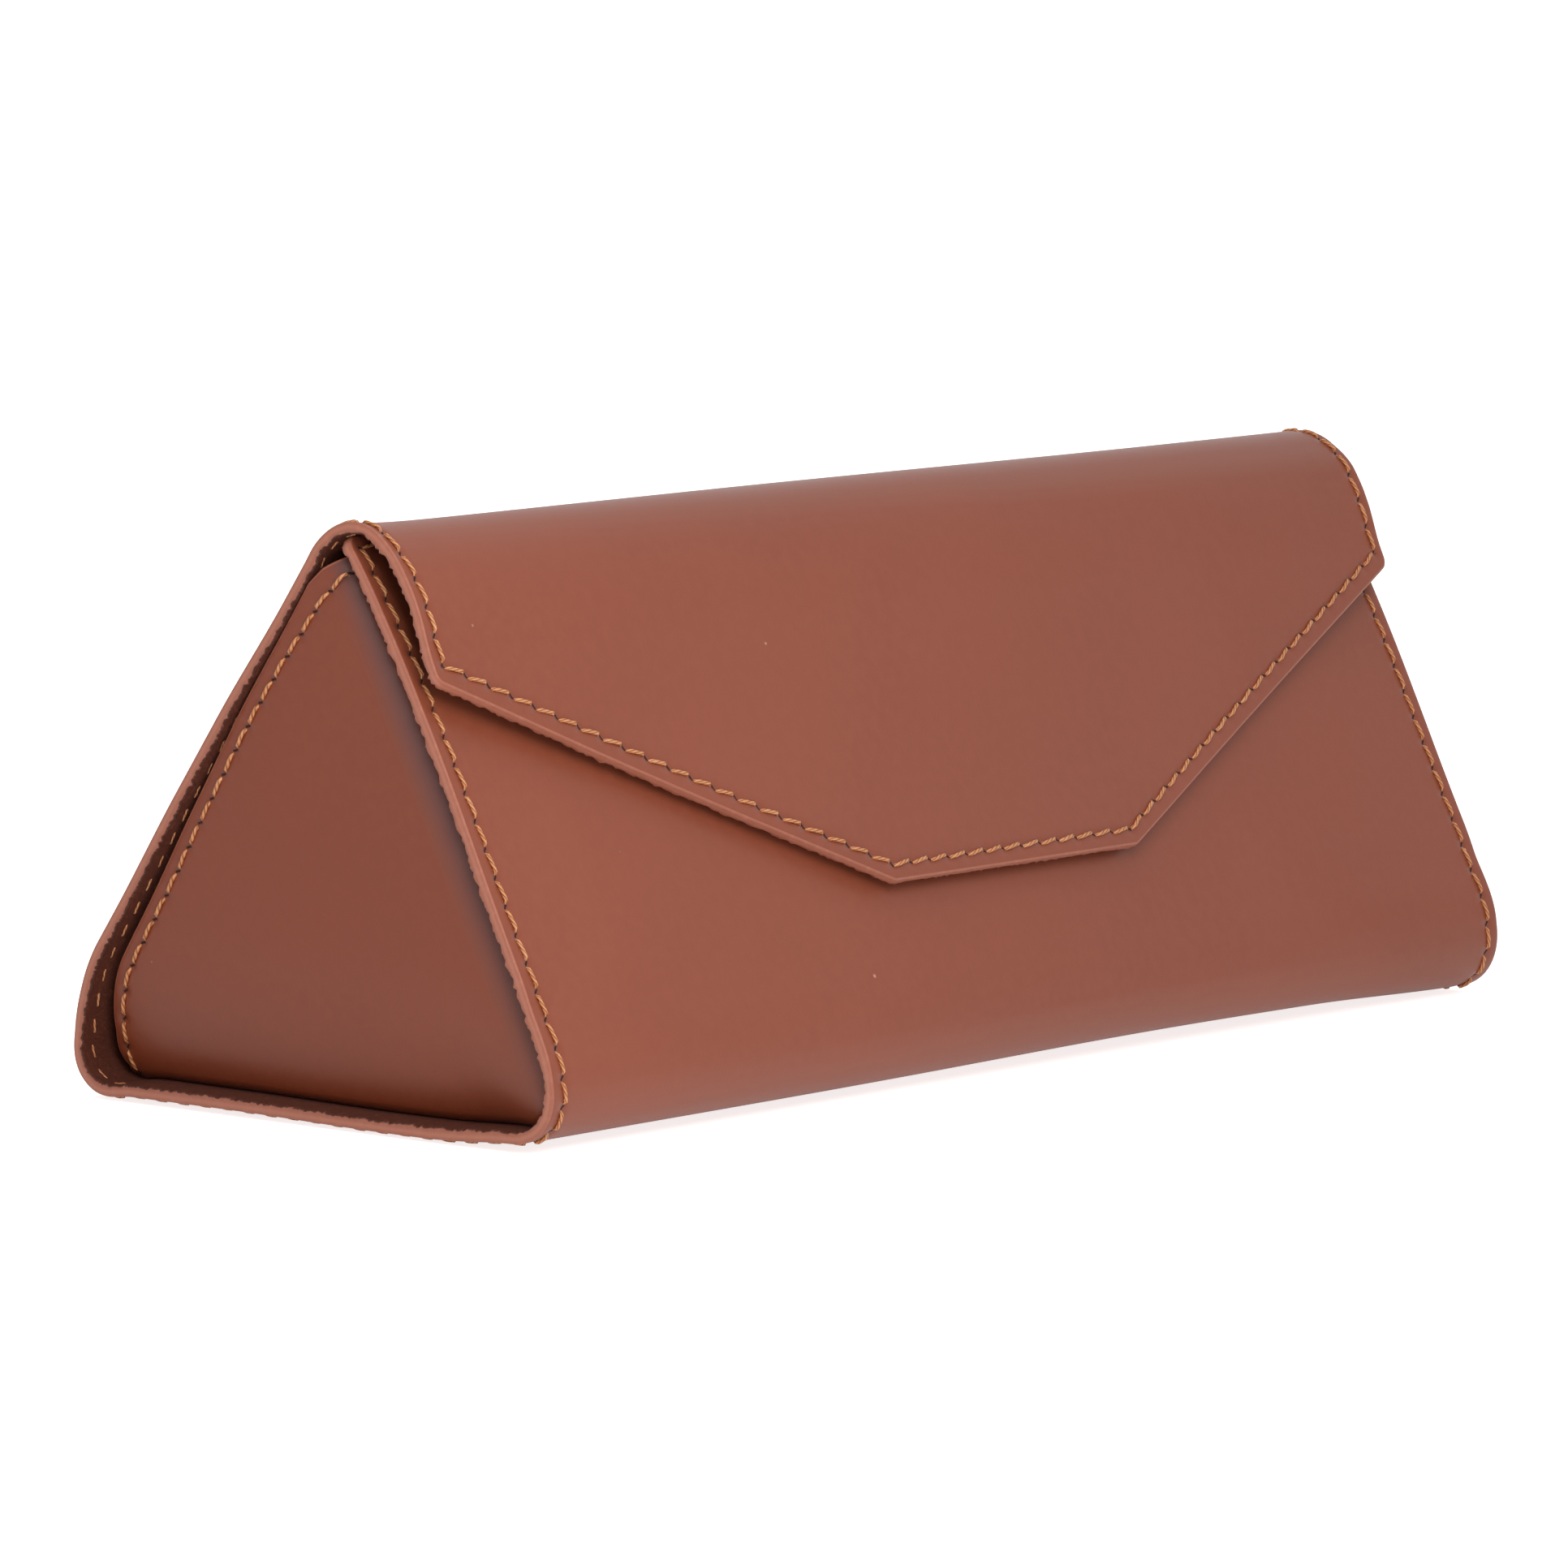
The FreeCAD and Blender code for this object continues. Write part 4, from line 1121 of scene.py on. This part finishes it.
def magnet_disc(name, s_middle, x_middle):
    """A flat disc with eased edges, spun from its profile and laid in the sheet's flesh side."""
    ease = 0.12
    radii = np.array([MAGNET_RADIUS - ease, MAGNET_RADIUS, MAGNET_RADIUS, MAGNET_RADIUS - ease])
    heights = np.array([0.0, -ease, ease - MAGNET_THICK, -MAGNET_THICK]) - LEATHER + MAGNET_THICK
    around = 40
    angle = np.linspace(0, 2 * np.pi, around, endpoint=False)
    s = s_middle + radii[:, None] * np.cos(angle)
    x = x_middle + radii[:, None] * np.sin(angle)
    ring = on_wrap(s.ravel(), x.ravel(), np.repeat(heights, around))
    poles = on_wrap(np.full(2, s_middle), np.full(2, x_middle), heights[[0, -1]])
    index = np.arange(4 * around).reshape(4, around)
    ahead = np.roll(index, -1, axis=1)
    wall = np.stack([index[:-1], index[1:], ahead[1:], ahead[:-1]], -1).reshape(-1, 4)
    top = np.stack([np.full(around, 4 * around), index[0], ahead[0]], -1)
    bottom = np.stack([np.full(around, 4 * around + 1), ahead[-1], index[-1]], -1)
    groups = [(faces, 0, {"flat": np.zeros(faces.shape + (2,))}) for faces in (wall, top, bottom)]
    return make_mesh(name, np.concatenate([ring, poles]), groups, (MAGNET_PLATE,))


def magnet_cover(name, s_middle):
    """A thin rectangle of leather over a pair of magnets, rounded at its corners.

    Its face stands one thickness off the flesh side, swelling slightly over each magnet.
    """
    high, wide = COVER_SIZE
    s = np.linspace(high / 2, -high / 2, 27) + s_middle
    x = np.linspace(-wide / 2, wide / 2, 85)
    s_grid, x_grid = np.meshgrid(s, x, indexing="ij")
    flat = np.stack([s_grid, x_grid], -1).reshape(-1, 2)
    for end in (-1, 1):
        for side in (-1, 1):
            corner = np.array([s_middle + end * high / 2, side * wide / 2])
            flat = round_corner(flat, corner, np.array([-end, 0.0]), np.array([0.0, -side]), COVER_CORNER)
    from_magnet = np.hypot(flat[:, 0] - s_middle, np.abs(flat[:, 1]) - MAGNET_X)
    swell = 0.12 * (1 - smooth(MAGNET_RADIUS - 1.2, MAGNET_RADIUS + 0.8, from_magnet))
    place = on_wrap(flat[:, 0], flat[:, 1], -LEATHER - COVER_THICK - swell)
    outward = -wrap_frame(flat[:, 0])[2]
    loop = grid_loop(len(s), len(x))
    edge_out = unit(np.cross(rim_directions(place[loop]), outward[loop])) * EDGE_ROUNDING
    return cut_sheet(name, flat, place, outward, np.zeros(len(flat)), loop, edge_out,
                     [grid_faces(len(s), len(x))], [], WRAP_MATERIALS, thick=COVER_THICK)


def nickel_plate(name):
    """Plated magnet: finely brushed, slightly dulled, patterned on Object coordinates."""
    material, net, shader = principled(name)
    place = net.stretch(net.add("ShaderNodeTexCoord").outputs["Object"], (300.0, 6000.0, 6000.0))
    brushed = net.noise(place, 2.0, 4.0, 0.6)
    net.put(shader["Base Color"], net.mix(brushed, (0.48, 0.47, 0.45, 1), (0.62, 0.61, 0.58, 1)))
    net.put(shader["Roughness"], net.math("ADD", net.math("MULTIPLY", brushed, 0.2), 0.2))
    shader["Metallic"].default_value = 1.0
    return material


MAGNET_PLATE = nickel_plate("magnet_plate")
for part, body, s_middle in MAGNET_PLACES:
    cover = magnet_cover(part + "_magnet_patch", s_middle)
    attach(cover, body)
    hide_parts(part + "_magnet_cover")
    for side, x_middle in (("left", -MAGNET_X), ("right", MAGNET_X)):
        magnet = magnet_disc(part + "_magnet_disc_" + side, s_middle, x_middle)
        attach(magnet, body)
        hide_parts(part + "_magnet_" + side)


# ---- floor, light and camera, in metres ----------------------------------------------------------
FLOOR_REACH, FLOOR_LEVEL = 8.0, -0.0009    # its level is just under the sagging base


def studio_floor():
    """A flat pale sheet, far wider than the case, shown brighter than it lights the case."""
    corners = [(x * FLOOR_REACH, y * FLOOR_REACH, FLOOR_LEVEL)
               for x, y in ((-1, -1), (1, -1), (1, 1), (-1, 1))]
    mesh = bpy.data.meshes.new("studio_floor")
    mesh.from_pydata(corners, [], [(0, 1, 2, 3)])
    floor = bpy.data.objects.new("studio_floor", mesh)
    bpy.context.scene.collection.objects.link(floor)
    material, net, shader = principled("pale_floor")
    shader["Base Color"].default_value = (0.93, 0.93, 0.93, 1)
    shader["Roughness"].default_value = 0.9
    shader["Specular IOR Level"].default_value = 0.1
    shader["Emission Color"].default_value = (1.0, 1.0, 1.0, 1)
    seen = net.add("ShaderNodeLightPath").outputs["Is Camera Ray"]
    net.put(shader["Emission Strength"], net.math("MULTIPLY_ADD", seen, 0.45, 0.33))
    mesh.materials.append(material)


def soft_light(name, place, aim, size, watts, colour):
    """A large square soft light at place, pointed at aim."""
    lamp = bpy.data.lights.new(name, "AREA")
    lamp.shape = "SQUARE"
    lamp.size = size
    lamp.energy = watts
    lamp.color = colour
    holder = bpy.data.objects.new(name, lamp)
    bpy.context.scene.collection.objects.link(holder)
    holder.location = place
    holder.rotation_mode = "QUATERNION"
    holder.rotation_quaternion = (Vector(aim) - Vector(place)).to_track_quat("-Z", "Y")
    holder.visible_camera = False


def overhead_light(name, strength, spread, colour):
    """Even light from straight above, spread over a wide patch of sky."""
    lamp = bpy.data.lights.new(name, "SUN")
    lamp.energy = strength
    lamp.angle = math.radians(spread)
    lamp.color = colour
    holder = bpy.data.objects.new(name, lamp)
    bpy.context.scene.collection.objects.link(holder)


def white_world(seen, given):
    """A plain white surround: the camera sees it at strength `seen`, the case is lit by `given`."""
    world = bpy.data.worlds.new("studio_world")
    bpy.context.scene.world = world
    world.use_nodes = True
    net = Net(world.node_tree)
    background = world.node_tree.nodes["Background"]
    background.inputs["Color"].default_value = (1.0, 1.0, 1.0, 1)
    rays = net.add("ShaderNodeLightPath").outputs
    mirrored = net.math("MAXIMUM", rays["Is Camera Ray"], net.math("MULTIPLY", rays["Is Glossy Ray"], 0.85))
    net.put(background.inputs["Strength"], net.math("MULTIPLY_ADD", mirrored, seen - given, given))


def studio_camera():
    """The main view: from the front left, a little above the case, through a long lens."""
    yaw, pitch = 0.868, -0.118
    forward = Vector((math.sin(yaw) * math.cos(pitch), math.cos(yaw) * math.cos(pitch), math.sin(pitch)))
    right = Vector((math.cos(yaw), -math.sin(yaw), 0.0))
    up = right.cross(forward)
    camera = bpy.data.objects.new("studio_camera", bpy.data.cameras.new("studio_camera"))
    bpy.context.scene.collection.objects.link(camera)
    turn = Matrix((right, up, -forward)).transposed()
    camera.matrix_world = Matrix.Translation(Vector((-0.925414, -0.780541, 0.173045))) @ turn.to_4x4()
    camera.data.sensor_width = 36.0
    camera.data.lens = 241.37
    camera.data.clip_end = 50.0
    bpy.context.scene.camera = camera


studio_floor()
white_world(1.0, 0.36)
soft_light("key_light", (-0.22, -0.26, 0.22), (-0.04, 0.0, 0.03), 0.2, 0.80, (1.0, 0.97, 0.93))
overhead_light("overhead_light", 0.96, 55.0, (1.0, 1.0, 1.0))
studio_camera()
bpy.context.scene.view_settings.view_transform = "Standard"
